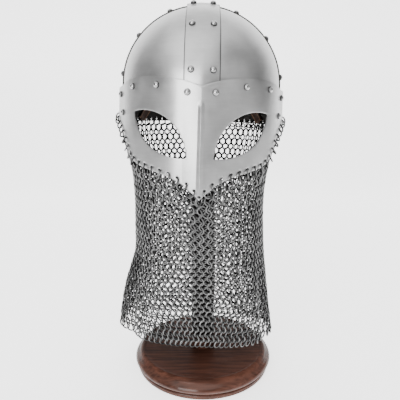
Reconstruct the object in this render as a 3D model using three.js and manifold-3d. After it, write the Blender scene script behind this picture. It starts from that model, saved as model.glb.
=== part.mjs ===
// A spectacle helmet of riveted iron plates with a curtain of mail, on a turned wooden stand.
// Millimetres, +Z up. The origin is the middle of the stand's underside and the mask looks along -Y.
import * as THREE from 'three';
import { mergeVertices } from 'three/addons/utils/BufferGeometryUtils.js';
import Module from 'manifold-3d';

const wasm = await Module();
wasm.setup();

// Skull: a half ellipsoid on a low wall, measured to the outside of the plates
const SKULL_HALF_WIDTH = 95.8;
const SKULL_HALF_DEPTH = 112;
const SKULL_RISE = 92.5;
const WALL_HEIGHT = 47;
const RIM_FLARE = 1.5;
const FLARE_END = 2;
const RIM_HEIGHT = 335;
const BROW_RAISE = 22;
const BROW_RAISE_TURNS = { full: 60, none: 100 };
const PLATE_WALL = 1.5;
const SEAM_HALF_GAP = 0.3;
const LEAN_DEGREES = 1.4;

// Bands over the seams, and the band round the brow
const BAND_WIDTH = 37.6;
const BAND_WALL = 1.5;
const BROW_TOP = 40;
const BROW_WALL = 1.5;
const SEAT_GAP = 0.4;
const FOOT_RISE = 2;
const EAR_FOOT_RISE = 5;
const STEP_OUT_SPAN = { start: 3, end: 13 };
const CLIMB_SPAN = { start: 8, end: 22 };
const CREASE_END_LIFT = 50;

// Mask with its two eye openings
const MASK_WALL = 1.5;
const MASK_RISE = 53.5;
const NASAL_DROP = 119.5;
const MASK_END_TURN = 88;
const MASK_HOLE_END_TURN = 84;
const CREASE_REACH = 17;
const BROW_CREASE_RISE = 0.8;
const NASAL_CREASE_RISE = 3.2;
const RIB_HALF_WIDTH = 4.3;
const RIB_RISE = 1.3;
const RIB_TOP_DROP = 28;
const RIB_FADE = 8;
const EYE_MIDDLE = { turn: 27, drop: 0.43 };

// Rivets, and the row of holes that carries the mail
const RIVET_DIAMETER = 7.2;
const RIVET_RISE = 3.3;
const RIVET_SHOULDER = { reach: 0.78, rise: 0.66 };
const RIVET_PAIR_SPREAD = 22.6;
const HOLE_DIAMETER = 3.2;
const HOLE_INSET = 3.6;
const HOLE_PITCH = 10.2;

// Mail curtain
const MAIL_WALL = 4.5;
const MAIL_TOP_SPREAD = 4;
const MAIL_FACING_SPREAD = 2;
const HEM_HEIGHT = 58;
const HEM_TILT = 6;
const FOLD_DEPTH = 7;

// Liner straps inside the back of the skull
const STRAP_WIDTH = 14;
const STRAP_WALL = 2;
const STRAP_GAP = 0.8;
const STRAP_LOWEST = 1;

// Turned stand
const BASE_RADIUS = 95.7;
const BASE_HEIGHT = 25;
const POST_RADIUS = 16;
const CAP_RADIUS = 40;
const CAP_DOME_RADIUS = 52;
const CAP_HEIGHT = 26;
const CAP_UNDERCUT = 8;
const JOINT_GAP = 0.3;

// Lower edge of the mask: drop below the skull's widest line, as a share of NASAL_DROP
const MASK_LOWER_EDGE = [
  { turn: 0, drop: 1.0 },
  { turn: 1.7, drop: 0.975 },
  { turn: 5, drop: 0.933 },
  { turn: 9.6, drop: 0.875 },
  { turn: 14.5, drop: 0.836 },
  { turn: 19.7, drop: 0.807 },
  { turn: 26, drop: 0.787 },
  { turn: 33, drop: 0.765 },
  { turn: 41.8, drop: 0.737 },
  { turn: 46.5, drop: 0.708 },
  { turn: 50.8, drop: 0.665 },
  { turn: 54.8, drop: 0.596 },
  { turn: 59, drop: 0.515 },
  { turn: 64.6, drop: 0.444 },
  { turn: 71.3, drop: 0.39 },
  { turn: 78.5, drop: 0.33 },
  { turn: 88, drop: 0.305 },
];

// Upper edge of the mask: height above the back rim, as a share of MASK_RISE
const MASK_UPPER_EDGE = [
  { turn: 0, rise: 0.82 },
  { turn: 11, rise: 0.925 },
  { turn: 24, rise: 0.983 },
  { turn: 34.7, rise: 1.0 },
  { turn: 46.6, rise: 0.988 },
  { turn: 55.5, rise: 0.944 },
  { turn: 64, rise: 0.86 },
  { turn: 74, rise: 0.81 },
  { turn: 88, rise: 0.785 },
];

// Each eye opening is two curves between an outer and an inner corner: turn in degrees, and drop
// below the skull's widest line as a share of NASAL_DROP
const EYE_UPPER_CURVE = [
  { turn: 47.3, drop: 0.256 },
  { turn: 35.2, drop: 0.208 },
  { turn: 10.5, drop: 0.228 },
  { turn: 7.6, drop: 0.642 },
];
const EYE_LOWER_CURVE = [
  { turn: 7.6, drop: 0.642 },
  { turn: 28.5, drop: 0.664 },
  { turn: 43.6, drop: 0.491 },
  { turn: 47.3, drop: 0.256 },
];

// Rivet pairs along the bands: lift above the skull's widest line, in degrees
const CREST_PAIR_LIFTS = [8, 40.5, 75];
const LATERAL_PAIR_LIFTS = [8, 38, 66];

// Rivets of the mask and of the brow band: turn in degrees and height as a share of MASK_RISE
const MASK_RIVETS = [
  { name: 'nasal', turn: 8.1, rise: 0.703 },
  { name: 'brow', turn: 28, rise: 0.83 },
  { name: 'temple', turn: 49, rise: 0.806 },
  { name: 'upper_ear', turn: 70, rise: 0.655 },
  { name: 'lower_ear', turn: 64, rise: 0.27 },
];
const BACK_RIVET_TURNS = [112, 132, 152, 172];
const BACK_RIVET_RISE = 0.5;

// Outline of the hanging mail from the height of the back rim, level 0, to the hem, level 1: reach
// to each side as a share of the skull's half width or half depth, and how square the outline is,
// from 1 for an ellipse down
const MAIL_SECTIONS = [
  { level: 0, left: 1.07, right: 1.0, front: 1.03, back: 1.0, round: 1.0 },
  { level: 0.1, left: 0.995, right: 0.9, front: 1.03, back: 0.98, round: 1.0 },
  { level: 0.2, left: 0.93, right: 0.835, front: 1.03, back: 0.95, round: 1.0 },
  { level: 0.32, left: 0.903, right: 0.796, front: 0.99, back: 0.91, round: 1.0 },
  { level: 0.45, left: 0.903, right: 0.8, front: 0.92, back: 0.86, round: 0.97 },
  { level: 0.6, left: 0.912, right: 0.822, front: 0.82, back: 0.81, round: 0.93 },
  { level: 0.69, left: 0.98, right: 0.85, front: 0.76, back: 0.785, round: 0.9 },
  { level: 0.78, left: 1.055, right: 0.877, front: 0.7, back: 0.765, round: 0.86 },
  { level: 0.89, left: 1.115, right: 0.917, front: 0.635, back: 0.75, round: 0.81 },
  { level: 1, left: 1.15, right: 0.963, front: 0.58, back: 0.74, round: 0.77 },
];

// Folds of the mail, growing towards the hem: depth as a share of FOLD_DEPTH, inwards if negative
const MAIL_FOLDS = [
  { turn: -58, spread: 11, depth: -0.9 },
  { turn: -82, spread: 13, depth: 0.35 },
  { turn: 60, spread: 9, depth: -0.8 },
  { turn: 84, spread: 11, depth: 0.3 },
  { turn: 132, spread: 14, depth: -0.7 },
  { turn: 160, spread: 14, depth: 0.7 },
  { turn: -166, spread: 13, depth: -0.7 },
  { turn: -134, spread: 14, depth: 0.7 },
];
const FOLD_START = 0.35;
const LEAVING_SHARE = 0.16;

// The course of each liner strap: turn in degrees, height as a share of WALL_HEIGHT
const STRAP_LOW = { turn: 118.5, rise: 0.05 };
const STRAP_HIGH = { turn: 141, rise: 0.98 };

// Profile of the base from its underside to its top: shares of BASE_RADIUS and BASE_HEIGHT
const BASE_PROFILE = [
  { reach: 0, rise: 0 },
  { reach: 0.945, rise: 0 },
  { reach: 0.96, rise: 0.03 },
  { reach: 0.96, rise: 0.21 },
  { reach: 0.937, rise: 0.26 },
  { reach: 0.975, rise: 0.34 },
  { reach: 1, rise: 0.5 },
  { reach: 0.98, rise: 0.67 },
  { reach: 0.935, rise: 0.78 },
  { reach: 0.92, rise: 0.87 },
  { reach: 0.9, rise: 0.97 },
  { reach: 0.875, rise: 1 },
  { reach: 0.85, rise: 0.96 },
  { reach: 0, rise: 0.96 },
];

// Grids: turns of the mask's columns, and counts of steps
const MASK_TURNS = [0, 2.5, 5, 7.8, 10.6, 15, 20, 25, 30, 35, 40, 45, 50, 54.5, 59, 64, 69, 74, 79, 83.5,
  MASK_END_TURN];
const MASK_ROWS = 6;
const BACK_COLUMNS = 28;
const BROW_ROWS = 1;
const PLATE_COLUMNS = 9;
const WALL_ROWS = 2;
const DOME_ROWS = 8;
const BAND_ROWS = 28;
const BAND_COLUMNS = 4;
const MAIL_COLUMNS = 40;
const MAIL_ROWS = 10;
const STRAP_ROWS = 6;
const EYE_STEPS = 10;
const EDGE_SAMPLES = 360;
const RIVET_SIDES = 8;
const HOLE_SIDES = 4;
const BASE_SIDES = 36;
const POST_SIDES = 20;
const CAP_RINGS = 5;
const CUTTER_REACH = 12;
const CORNER_TOLERANCE = 1e-3;

const rad = THREE.MathUtils.degToRad;
const crownHeight = WALL_HEIGHT + SKULL_RISE;
const overlapStep = BAND_WALL + SEAT_GAP;

function steps(from, to, count) {
  return Array.from({ length: count + 1 }, (_, index) => from + (to - from) * index / count);
}

function smooth(from, to, value) {
  const share = THREE.MathUtils.clamp((value - from) / (to - from), 0, 1);
  return share * share * (3 - 2 * share);
}

// Smooth curve through the rows of a table
function fromTable(table, across, key, at) {
  const last = table.length - 1;
  const place = THREE.MathUtils.clamp(at, table[0][across], table[last][across]);
  let index = 0;
  while (index < last - 1 && table[index + 1][across] < place) index += 1;
  const slope = (row) => {
    const before = table[Math.max(row - 1, 0)];
    const after = table[Math.min(row + 1, last)];
    return (after[key] - before[key]) / (after[across] - before[across]);
  };
  const start = table[index];
  const end = table[index + 1];
  const width = end[across] - start[across];
  const t = (place - start[across]) / width;
  const values = (2 * t ** 3 - 3 * t ** 2 + 1) * start[key] + (3 * t ** 2 - 2 * t ** 3) * end[key];
  const startSlope = (t ** 3 - 2 * t ** 2 + t) * width * slope(index);
  const endSlope = (t ** 3 - t ** 2) * width * slope(index + 1);
  return values + startSlope + endSlope;
}

// Heights in the helmet's own frame are measured up from the back rim
function rimEdge(turn) {
  return BROW_RAISE * (1 - smooth(BROW_RAISE_TURNS.full, BROW_RAISE_TURNS.none, Math.abs(turn)));
}

function maskLower(turn) {
  return WALL_HEIGHT - NASAL_DROP * fromTable(MASK_LOWER_EDGE, 'turn', 'drop', Math.abs(turn));
}

function maskUpper(turn) {
  return MASK_RISE * fromTable(MASK_UPPER_EDGE, 'turn', 'rise', Math.abs(turn));
}

// A point on the skull's surface, moved out by a distance. Turn 0 faces -Y and turn 90 faces +X
function skullPoint(turn, height, out) {
  const below = THREE.MathUtils.clamp((WALL_HEIGHT - height) / WALL_HEIGHT, 0, FLARE_END);
  const spread = out + RIM_FLARE * (1 - Math.cos(Math.PI * below / 2));
  const lift = Math.max(height - WALL_HEIGHT, 0) / (SKULL_RISE + out);
  const shrink = Math.sqrt(Math.max(1 - lift * lift, 0));
  return new THREE.Vector3(
    (SKULL_HALF_WIDTH + spread) * shrink * Math.sin(rad(turn)),
    -(SKULL_HALF_DEPTH + spread) * shrink * Math.cos(rad(turn)),
    height,
  );
}

function outward(turn, height, out) {
  const step = 0.5;
  const along = skullPoint(turn + step, height, out).sub(skullPoint(turn - step, height, out));
  const up = skullPoint(turn, height + step, out).sub(skullPoint(turn, height - step, out));
  return along.cross(up).normalize();
}

// How far the brow band and the mask step out where they pass over the other bands
function bandStep(turn) {
  const across = Math.abs(SKULL_HALF_WIDTH * Math.sin(rad(turn)));
  const along = Math.abs(SKULL_HALF_DEPTH * Math.cos(rad(turn)));
  const start = BAND_WIDTH / 2 + STEP_OUT_SPAN.start;
  const end = BAND_WIDTH / 2 + STEP_OUT_SPAN.end;
  return overlapStep * (1 - smooth(start, end, Math.min(across, along)));
}

// The upright crease in the middle of the crest's foot, the brow band and the mask
function crease(across, rise) {
  return rise * Math.max(0, 1 - Math.abs(across) / CREASE_REACH);
}

// A wall between an inner and an outer surface over one grid, closed along the grid's edges
function wallGeometry(columns, rows, place, looped = false) {
  const positions = [];
  for (const side of [0, 1]) {
    for (const column of columns) {
      for (const row of rows) positions.push(...place(column, row, side).toArray());
    }
  }
  const columnCount = columns.length;
  const rowCount = rows.length;
  const at = (side, column, row) => (side * columnCount + column % columnCount) * rowCount + row;
  const triangles = [];
  const quad = (a, b, c, d) => triangles.push(a, b, c, a, c, d);
  const spans = looped ? columnCount : columnCount - 1;
  for (let column = 0; column < spans; column += 1) {
    for (let row = 0; row < rowCount - 1; row += 1) {
      quad(at(1, column, row), at(1, column + 1, row), at(1, column + 1, row + 1), at(1, column, row + 1));
      quad(at(0, column, row), at(0, column, row + 1), at(0, column + 1, row + 1), at(0, column + 1, row));
    }
    quad(at(0, column, 0), at(0, column + 1, 0), at(1, column + 1, 0), at(1, column, 0));
    const top = rowCount - 1;
    quad(at(0, column, top), at(1, column, top), at(1, column + 1, top), at(0, column + 1, top));
  }
  if (!looped) {
    const end = columnCount - 1;
    for (let row = 0; row < rowCount - 1; row += 1) {
      quad(at(0, 0, row), at(1, 0, row), at(1, 0, row + 1), at(0, 0, row + 1));
      quad(at(0, end, row), at(0, end, row + 1), at(1, end, row + 1), at(1, end, row));
    }
  }
  return closedSolid(positions, triangles);
}

// Merges the corners, drops collapsed triangles and turns the faces outwards
function closedSolid(positions, triangles) {
  const loose = new THREE.BufferGeometry();
  loose.setAttribute('position', new THREE.Float32BufferAttribute(positions, 3));
  loose.setIndex(triangles);
  const merged = mergeVertices(loose, CORNER_TOLERANCE);
  const index = merged.getIndex().array;
  const corner = (which) => new THREE.Vector3().fromBufferAttribute(merged.getAttribute('position'), which);
  const kept = [];
  let volume = 0;
  for (let start = 0; start < index.length; start += 3) {
    const [a, b, c] = index.slice(start, start + 3);
    if (a === b || b === c || c === a) continue;
    kept.push(a, b, c);
    volume += corner(a).dot(corner(b).cross(corner(c)));
  }
  if (volume < 0) kept.reverse();
  merged.setIndex(kept);
  return merged;
}

function toSolid(geometry) {
  const bare = geometry.clone();
  bare.deleteAttribute('normal');
  bare.deleteAttribute('uv');
  const merged = mergeVertices(bare, CORNER_TOLERANCE);
  return new wasm.Manifold(new wasm.Mesh({
    numProp: 3,
    vertProperties: new Float32Array(merged.getAttribute('position').array),
    triVerts: new Uint32Array(merged.getIndex().array),
  }));
}

function toGeometry(solid) {
  const mesh = solid.getMesh();
  const geometry = new THREE.BufferGeometry();
  geometry.setAttribute('position', new THREE.BufferAttribute(new Float32Array(mesh.vertProperties), 3));
  geometry.setIndex(new THREE.BufferAttribute(new Uint32Array(mesh.triVerts), 1));
  return geometry;
}

function cutAway(geometry, cutters) {
  const solid = cutters.reduce((left, cutter) => left.subtract(toSolid(cutter)), toSolid(geometry));
  return toGeometry(solid);
}

// Skull plates: a quarter each, set back from the seams
function skullPlate(sideX, sideY) {
  const levels = [...steps(0, 1, WALL_ROWS), ...steps(0, 90, DOME_ROWS).slice(1).map((lift) => 1 + lift)];
  const place = (angle, level, side) => {
    const out = side ? 0 : -PLATE_WALL;
    const turn = sideY < 0 ? angle : 180 - angle;
    const wallShare = Math.min(level, 1);
    const low = rimEdge(turn);
    const height = low + (WALL_HEIGHT - low) * wallShare;
    const lift = rad(Math.max(level - 1, 0));
    const below = (WALL_HEIGHT - height) / WALL_HEIGHT;
    const spread = out + RIM_FLARE * (1 - Math.cos(Math.PI * below / 2)) - SEAM_HALF_GAP;
    const x = SEAM_HALF_GAP + (SKULL_HALF_WIDTH + spread) * Math.cos(lift) * Math.sin(rad(angle));
    const y = SEAM_HALF_GAP + (SKULL_HALF_DEPTH + spread) * Math.cos(lift) * Math.cos(rad(angle));
    const z = height + (SKULL_RISE + out) * Math.sin(lift);
    return new THREE.Vector3(sideX * x, sideY * y, z);
  };
  return wallGeometry(steps(0, 90, PLATE_COLUMNS), levels, place);
}

// A band over the skull in one upright plane. The lift runs from 0 to 180 degrees, with a foot down
// the wall at each end, and across runs over the band's width
function bandPoint(across, lift, foot, out, halfAcross, halfAlong) {
  const side = lift < 90 ? -1 : 1;
  const below = foot / WALL_HEIGHT;
  const spread = out + RIM_FLARE * (1 - Math.cos(Math.PI * below / 2));
  const inset = Math.sqrt(1 - (across / (halfAcross + spread)) ** 2);
  const bend = rad(lift);
  return {
    across,
    along: foot > 0 ? side * (halfAlong + spread) * inset : -(halfAlong + spread) * inset * Math.cos(bend),
    height: foot > 0 ? WALL_HEIGHT - foot : WALL_HEIGHT + (SKULL_RISE + out) * inset * Math.sin(bend),
  };
}

function bandStations(startFoot, endFoot) {
  return [
    { lift: 0, foot: startFoot },
    { lift: 0, foot: startFoot / 2 },
    ...steps(0, 180, BAND_ROWS).map((lift) => ({ lift, foot: 0 })),
    { lift: 180, foot: endFoot / 2 },
    { lift: 180, foot: endFoot },
  ];
}

const bandAcross = steps(-BAND_WIDTH / 2, BAND_WIDTH / 2, BAND_COLUMNS);
const frontFoot = WALL_HEIGHT - BROW_RAISE - FOOT_RISE;
const backFoot = WALL_HEIGHT - FOOT_RISE;
const earFoot = WALL_HEIGHT - rimEdge(90) - EAR_FOOT_RISE;

// The crest's outer face: it climbs over the lateral band at the crown, and its foot is creased
function crestOut(across, lift) {
  const crossing = Math.abs(SKULL_HALF_DEPTH * Math.cos(rad(lift)));
  const start = BAND_WIDTH / 2 + CLIMB_SPAN.start;
  const end = BAND_WIDTH / 2 + CLIMB_SPAN.end;
  const climb = overlapStep * (1 - smooth(start, end, crossing));
  const fade = 1 - smooth(0, CREASE_END_LIFT, lift);
  return SEAT_GAP + BAND_WALL + climb + crease(across, BROW_CREASE_RISE * fade);
}

function lateralOut() {
  return SEAT_GAP + BAND_WALL;
}

function crestBand() {
  const place = (across, station, side) => {
    const out = crestOut(across, station.lift) - (1 - side) * BAND_WALL;
    const spot = bandPoint(across, station.lift, station.foot, out, SKULL_HALF_WIDTH, SKULL_HALF_DEPTH);
    return new THREE.Vector3(spot.across, spot.along, spot.height);
  };
  return wallGeometry(bandAcross, bandStations(frontFoot, backFoot), place);
}

function lateralBand() {
  const place = (across, station, side) => {
    const out = lateralOut() - (1 - side) * BAND_WALL;
    const spot = bandPoint(across, station.lift, station.foot, out, SKULL_HALF_DEPTH, SKULL_HALF_WIDTH);
    return new THREE.Vector3(spot.along, spot.across, spot.height);
  };
  return wallGeometry(bandAcross, bandStations(earFoot, earFoot), place);
}

function mirroredTurns(turns) {
  return [...turns.slice(1).map((turn) => -turn).reverse(), ...turns];
}

const browInner = SEAT_GAP;
const maskInner = browInner + BROW_WALL + SEAT_GAP;

function acrossOf(turn) {
  return SKULL_HALF_WIDTH * Math.sin(rad(turn));
}

function browBand() {
  const backTurns = steps(MASK_END_TURN, 360 - MASK_END_TURN, BACK_COLUMNS).slice(1, -1);
  const turns = [...mirroredTurns(MASK_TURNS), ...backTurns];
  const place = (turn, share, side) => {
    const wrapped = turn > 180 ? turn - 360 : turn;
    const low = rimEdge(wrapped);
    const height = low + (BROW_TOP - low) * share;
    const fold = Math.abs(wrapped) < 90 ? crease(acrossOf(wrapped), BROW_CREASE_RISE) : 0;
    return skullPoint(wrapped, height, browInner + side * BROW_WALL + bandStep(wrapped) + fold);
  };
  const band = wallGeometry(turns, steps(0, 1, BROW_ROWS), place, true);
  return cutAway(band, mailHoles().filter((hole) => Math.abs(hole.turn) > MASK_END_TURN).map(holeCutter));
}

// The mask's own relief: its crease grows down the nasal, and a narrow rib runs down the middle
function maskRelief(turn, height) {
  const depth = smooth(WALL_HEIGHT, WALL_HEIGHT - NASAL_DROP, height);
  const rise = BROW_CREASE_RISE + (NASAL_CREASE_RISE - BROW_CREASE_RISE) * depth;
  const ribShare = Math.max(0, 1 - Math.abs(acrossOf(turn)) / RIB_HALF_WIDTH);
  const ribStart = WALL_HEIGHT - RIB_TOP_DROP;
  const ribFade = smooth(ribStart + RIB_FADE, ribStart - RIB_FADE, height);
  return crease(acrossOf(turn), rise) + RIB_RISE * ribShare * ribFade;
}

function maskPoint(turn, height, side) {
  return skullPoint(turn, height, maskInner + side * MASK_WALL + bandStep(turn) + maskRelief(turn, height));
}

function bezierPoints(curve) {
  const corners = curve.map((row) => new THREE.Vector2(row.turn, WALL_HEIGHT - NASAL_DROP * row.drop));
  return new THREE.CubicBezierCurve(...corners).getPoints(EYE_STEPS);
}

// The eye's outline as a plug that is wider than the mask's wall on both sides
function eyeCutter(mirror) {
  const outline = [EYE_UPPER_CURVE, EYE_LOWER_CURVE].flatMap((curve) => bezierPoints(curve).slice(0, -1));
  const middleHeight = WALL_HEIGHT - NASAL_DROP * EYE_MIDDLE.drop;
  const ring = outline.map((spot) => [-1, 1].map((side) => {
    const out = maskInner + side * CUTTER_REACH;
    return skullPoint(mirror * spot.x, spot.y, out).toArray();
  }));
  const count = ring.length;
  const positions = [];
  for (const pair of ring) positions.push(...pair[0], ...pair[1]);
  for (const side of [-1, 1]) {
    const out = maskInner + side * CUTTER_REACH;
    positions.push(...skullPoint(mirror * EYE_MIDDLE.turn, middleHeight, out).toArray());
  }
  const triangles = [];
  for (let index = 0; index < count; index += 1) {
    const next = (index + 1) % count;
    triangles.push(2 * index, 2 * next, 2 * next + 1, 2 * index, 2 * next + 1, 2 * index + 1);
    triangles.push(2 * count, 2 * next, 2 * index, 2 * count + 1, 2 * index + 1, 2 * next + 1);
  }
  return closedSolid(positions, triangles);
}

// The holes follow the mask's lower edge and then the back rim, evenly spaced all the way round
function edgeSample(turn) {
  const onMask = Math.abs(turn) < MASK_HOLE_END_TURN;
  const height = onMask ? maskLower(turn) : rimEdge(turn);
  const out = (onMask ? maskInner : browInner) + bandStep(turn);
  return { turn, height, out, spot: skullPoint(turn, height, out) };
}

function mailHoles() {
  const samples = steps(0, 180, EDGE_SAMPLES).map(edgeSample);
  const lengths = [0];
  for (let index = 1; index < samples.length; index += 1) {
    lengths.push(lengths[index - 1] + samples[index].spot.distanceTo(samples[index - 1].spot));
  }
  const total = lengths[lengths.length - 1];
  const count = Math.round(total / HOLE_PITCH);
  const flip = new THREE.Vector3(-1, 1, 1);
  const holes = [];
  for (let hole = 0; hole <= count; hole += 1) {
    const target = total * hole / count;
    const index = Math.max(1, lengths.findIndex((length) => length >= target - CORNER_TOLERANCE));
    const onSeam = hole === 0 || hole === count;
    const near = samples[hole === 0 ? 0 : index];
    const after = samples[Math.min(index + 1, EDGE_SAMPLES)];
    const tangent = after.spot.clone().sub(samples[index - 1].spot).normalize();
    if (onSeam) tangent.set(hole === 0 ? 1 : -1, 0, 0);
    const normal = outward(near.turn, near.height, near.out);
    const inward = normal.clone().cross(tangent).normalize();
    const centre = near.spot.clone().addScaledVector(inward, HOLE_INSET);
    holes.push({ turn: near.turn, centre, normal });
    if (onSeam) continue;
    const mirrored = { centre: centre.clone().multiply(flip), normal: normal.clone().multiply(flip) };
    holes.push({ turn: -near.turn, ...mirrored });
  }
  return holes;
}

function holeCutter(hole) {
  const radius = HOLE_DIAMETER / 2;
  const cutter = new THREE.CylinderGeometry(radius, radius, CUTTER_REACH, HOLE_SIDES);
  const turnTo = new THREE.Quaternion().setFromUnitVectors(new THREE.Vector3(0, 1, 0), hole.normal);
  cutter.applyQuaternion(turnTo);
  return cutter.translate(...hole.centre.toArray());
}

function maskPlate() {
  const place = (turn, share, side) => {
    const low = maskLower(turn);
    return maskPoint(turn, low + (maskUpper(turn) - low) * share, side);
  };
  const plate = wallGeometry(mirroredTurns(MASK_TURNS), steps(0, 1, MASK_ROWS), place);
  const holes = mailHoles().filter((hole) => Math.abs(hole.turn) < MASK_HOLE_END_TURN);
  return cutAway(plate, [eyeCutter(1), eyeCutter(-1), ...holes.map(holeCutter)]);
}

// The mail's centre line: it leaves the rim on the skull's outline and then follows the sections
function mailTop(turn) {
  const behindMask = maskLower(turn) + HOLE_INSET;
  const nearby = [turn - MAIL_TOP_SPREAD, turn, turn + MAIL_TOP_SPREAD];
  const underRim = Math.min(...nearby.map(rimEdge)) - SEAT_GAP;
  return Math.abs(turn) > MASK_END_TURN ? underRim : Math.min(behindMask, underRim);
}

function mailCentre(turn, share, toWorld) {
  const layerOut = browInner + BROW_WALL - MAIL_WALL / 2;
  const top = skullPoint(turn, mailTop(turn), layerOut).applyMatrix4(toWorld);
  const sine = Math.sin(rad(turn));
  const cosine = Math.cos(rad(turn));
  const hem = HEM_HEIGHT - HEM_TILT * sine;
  const height = top.z + (hem - top.z) * share;
  const level = (RIM_HEIGHT - height) / (RIM_HEIGHT - hem);
  const section = (key) => fromTable(MAIL_SECTIONS, 'level', key, level);
  const sideways = SKULL_HALF_WIDTH * section(sine < 0 ? 'left' : 'right');
  const lengthways = SKULL_HALF_DEPTH * section(cosine < 0 ? 'back' : 'front');
  const bulge = (value) => Math.sign(value) * Math.abs(value) ** section('round');
  const folds = MAIL_FOLDS.reduce((sum, fold) => {
    const apart = Math.abs(((turn - fold.turn + 540) % 360) - 180) / fold.spread;
    return sum + fold.depth * Math.exp(-apart * apart);
  }, 0);
  const reach = 1 + folds * FOLD_DEPTH * smooth(FOLD_START, 1, level) / SKULL_HALF_WIDTH;
  const hanging = new THREE.Vector3(
    sideways * bulge(sine) * reach,
    -lengthways * bulge(cosine) * reach,
    height,
  );
  const leaving = new THREE.Vector3(top.x, top.y, height);
  return leaving.lerp(hanging, smooth(0, LEAVING_SHARE, share));
}

function mailCurtain(toWorld) {
  const place = (turn, share, side) => {
    const spot = mailCentre(turn, share, toWorld);
    const after = mailCentre(turn + MAIL_FACING_SPREAD, share, toWorld);
    const before = mailCentre(turn - MAIL_FACING_SPREAD, share, toWorld);
    const along = after.sub(before);
    const away = new THREE.Vector3(along.y, -along.x, 0).normalize();
    return spot.addScaledVector(away, (side - 0.5) * MAIL_WALL);
  };
  const turns = steps(-180, 180, MAIL_COLUMNS).slice(0, -1);
  return wallGeometry(turns, steps(0, 1, MAIL_ROWS), place, true);
}

// A leather strap that lies slantwise against the inside of the back plates
function linerStrap(mirror) {
  const low = new THREE.Vector2(STRAP_LOW.turn, STRAP_LOW.rise * WALL_HEIGHT);
  const high = new THREE.Vector2(STRAP_HIGH.turn, STRAP_HIGH.rise * WALL_HEIGHT);
  const degree = rad(1) * (SKULL_HALF_WIDTH + SKULL_HALF_DEPTH) / 2;
  const run = new THREE.Vector2((high.x - low.x) * degree, high.y - low.y).normalize();
  const place = (across, share, side) => {
    const turn = low.x + (high.x - low.x) * share + across * run.y / degree;
    const height = low.y + (high.y - low.y) * share - across * run.x;
    const out = -PLATE_WALL - STRAP_GAP - (1 - side) * STRAP_WALL;
    return skullPoint(mirror * turn, Math.max(height, STRAP_LOWEST), out);
  };
  return wallGeometry([-STRAP_WIDTH / 2, 0, STRAP_WIDTH / 2], steps(0, 1, STRAP_ROWS), place);
}

// A low domed rivet head, its flat underside at the origin and facing -Z
function rivetHead() {
  const radius = RIVET_DIAMETER / 2;
  const profile = [
    new THREE.Vector2(0, 0),
    new THREE.Vector2(radius, 0),
    new THREE.Vector2(radius * RIVET_SHOULDER.reach, RIVET_RISE * RIVET_SHOULDER.rise),
    new THREE.Vector2(0, RIVET_RISE),
  ];
  return new THREE.LatheGeometry(profile, RIVET_SIDES).rotateX(Math.PI / 2);
}

function turned(profile, sides) {
  return new THREE.LatheGeometry(profile, sides).rotateX(Math.PI / 2);
}

function baseGeometry() {
  const toCorner = (row) => new THREE.Vector2(row.reach * BASE_RADIUS, row.rise * BASE_HEIGHT);
  return turned(BASE_PROFILE.map(toCorner), BASE_SIDES);
}

function postGeometry(low, high) {
  return turned([
    new THREE.Vector2(0, low),
    new THREE.Vector2(POST_RADIUS, low),
    new THREE.Vector2(POST_RADIUS, high),
    new THREE.Vector2(0, high),
  ], POST_SIDES);
}

// The cap under the crown: a shallow dome over a rounded edge
function capGeometry(top) {
  const low = top - CAP_HEIGHT;
  const profile = [new THREE.Vector2(0, low), new THREE.Vector2(CAP_RADIUS - CAP_UNDERCUT, low)];
  for (const radius of steps(CAP_RADIUS, 0, CAP_RINGS)) {
    const sag = CAP_DOME_RADIUS - Math.sqrt(CAP_DOME_RADIUS ** 2 - radius ** 2);
    profile.push(new THREE.Vector2(radius, top - sag));
  }
  return turned(profile, POST_SIDES);
}

const steel = { color: 0xa9abad, roughness: 0.34, metalness: 1 };
const finishes = {
  plate: new THREE.MeshStandardMaterial({ ...steel }),
  band: new THREE.MeshStandardMaterial({ ...steel, color: 0xb0b2b4 }),
  rivet: new THREE.MeshStandardMaterial({ ...steel, color: 0xbcbec0, roughness: 0.28 }),
  mail: new THREE.MeshStandardMaterial({ color: 0x7d7f81, roughness: 0.4, metalness: 1 }),
  leather: new THREE.MeshStandardMaterial({ color: 0x4a2f20, roughness: 0.7, metalness: 0 }),
  wood: new THREE.MeshStandardMaterial({ color: 0x3d160c, roughness: 0.3, metalness: 0 }),
};

function named(name, geometry, finish) {
  const mesh = new THREE.Mesh(geometry, finish);
  mesh.name = name;
  return mesh;
}

const assembly = new THREE.Group();

// The helmet leans about the point where its crown rests on the stand
const restPoint = new THREE.Vector3(0, 0, crownHeight - PLATE_WALL);
const leaning = new THREE.Group();
leaning.position.set(0, 0, RIM_HEIGHT + restPoint.z);
leaning.rotation.y = rad(LEAN_DEGREES);
const helmet = new THREE.Group();
helmet.position.copy(restPoint).negate();
leaning.add(helmet);
assembly.add(leaning);
assembly.updateMatrixWorld(true);

helmet.add(named('skull_plate_front_left', skullPlate(-1, -1), finishes.plate));
helmet.add(named('skull_plate_front_right', skullPlate(1, -1), finishes.plate));
helmet.add(named('skull_plate_back_left', skullPlate(-1, 1), finishes.plate));
helmet.add(named('skull_plate_back_right', skullPlate(1, 1), finishes.plate));
helmet.add(named('lateral_band', lateralBand(), finishes.band));
helmet.add(named('crest_band', crestBand(), finishes.band));
helmet.add(named('brow_band', browBand(), finishes.band));
helmet.add(named('mask', maskPlate(), finishes.plate));
helmet.add(named('liner_strap_left', linerStrap(-1), finishes.leather));
helmet.add(named('liner_strap_right', linerStrap(1), finishes.leather));

const rivetShape = rivetHead();
const up = new THREE.Vector3(0, 0, 1);

function addRivet(name, spot, normal) {
  const rivet = named(name, rivetShape, finishes.rivet);
  rivet.position.copy(spot).addScaledVector(normal, JOINT_GAP);
  rivet.quaternion.setFromUnitVectors(up, normal);
  helmet.add(rivet);
}

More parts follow.
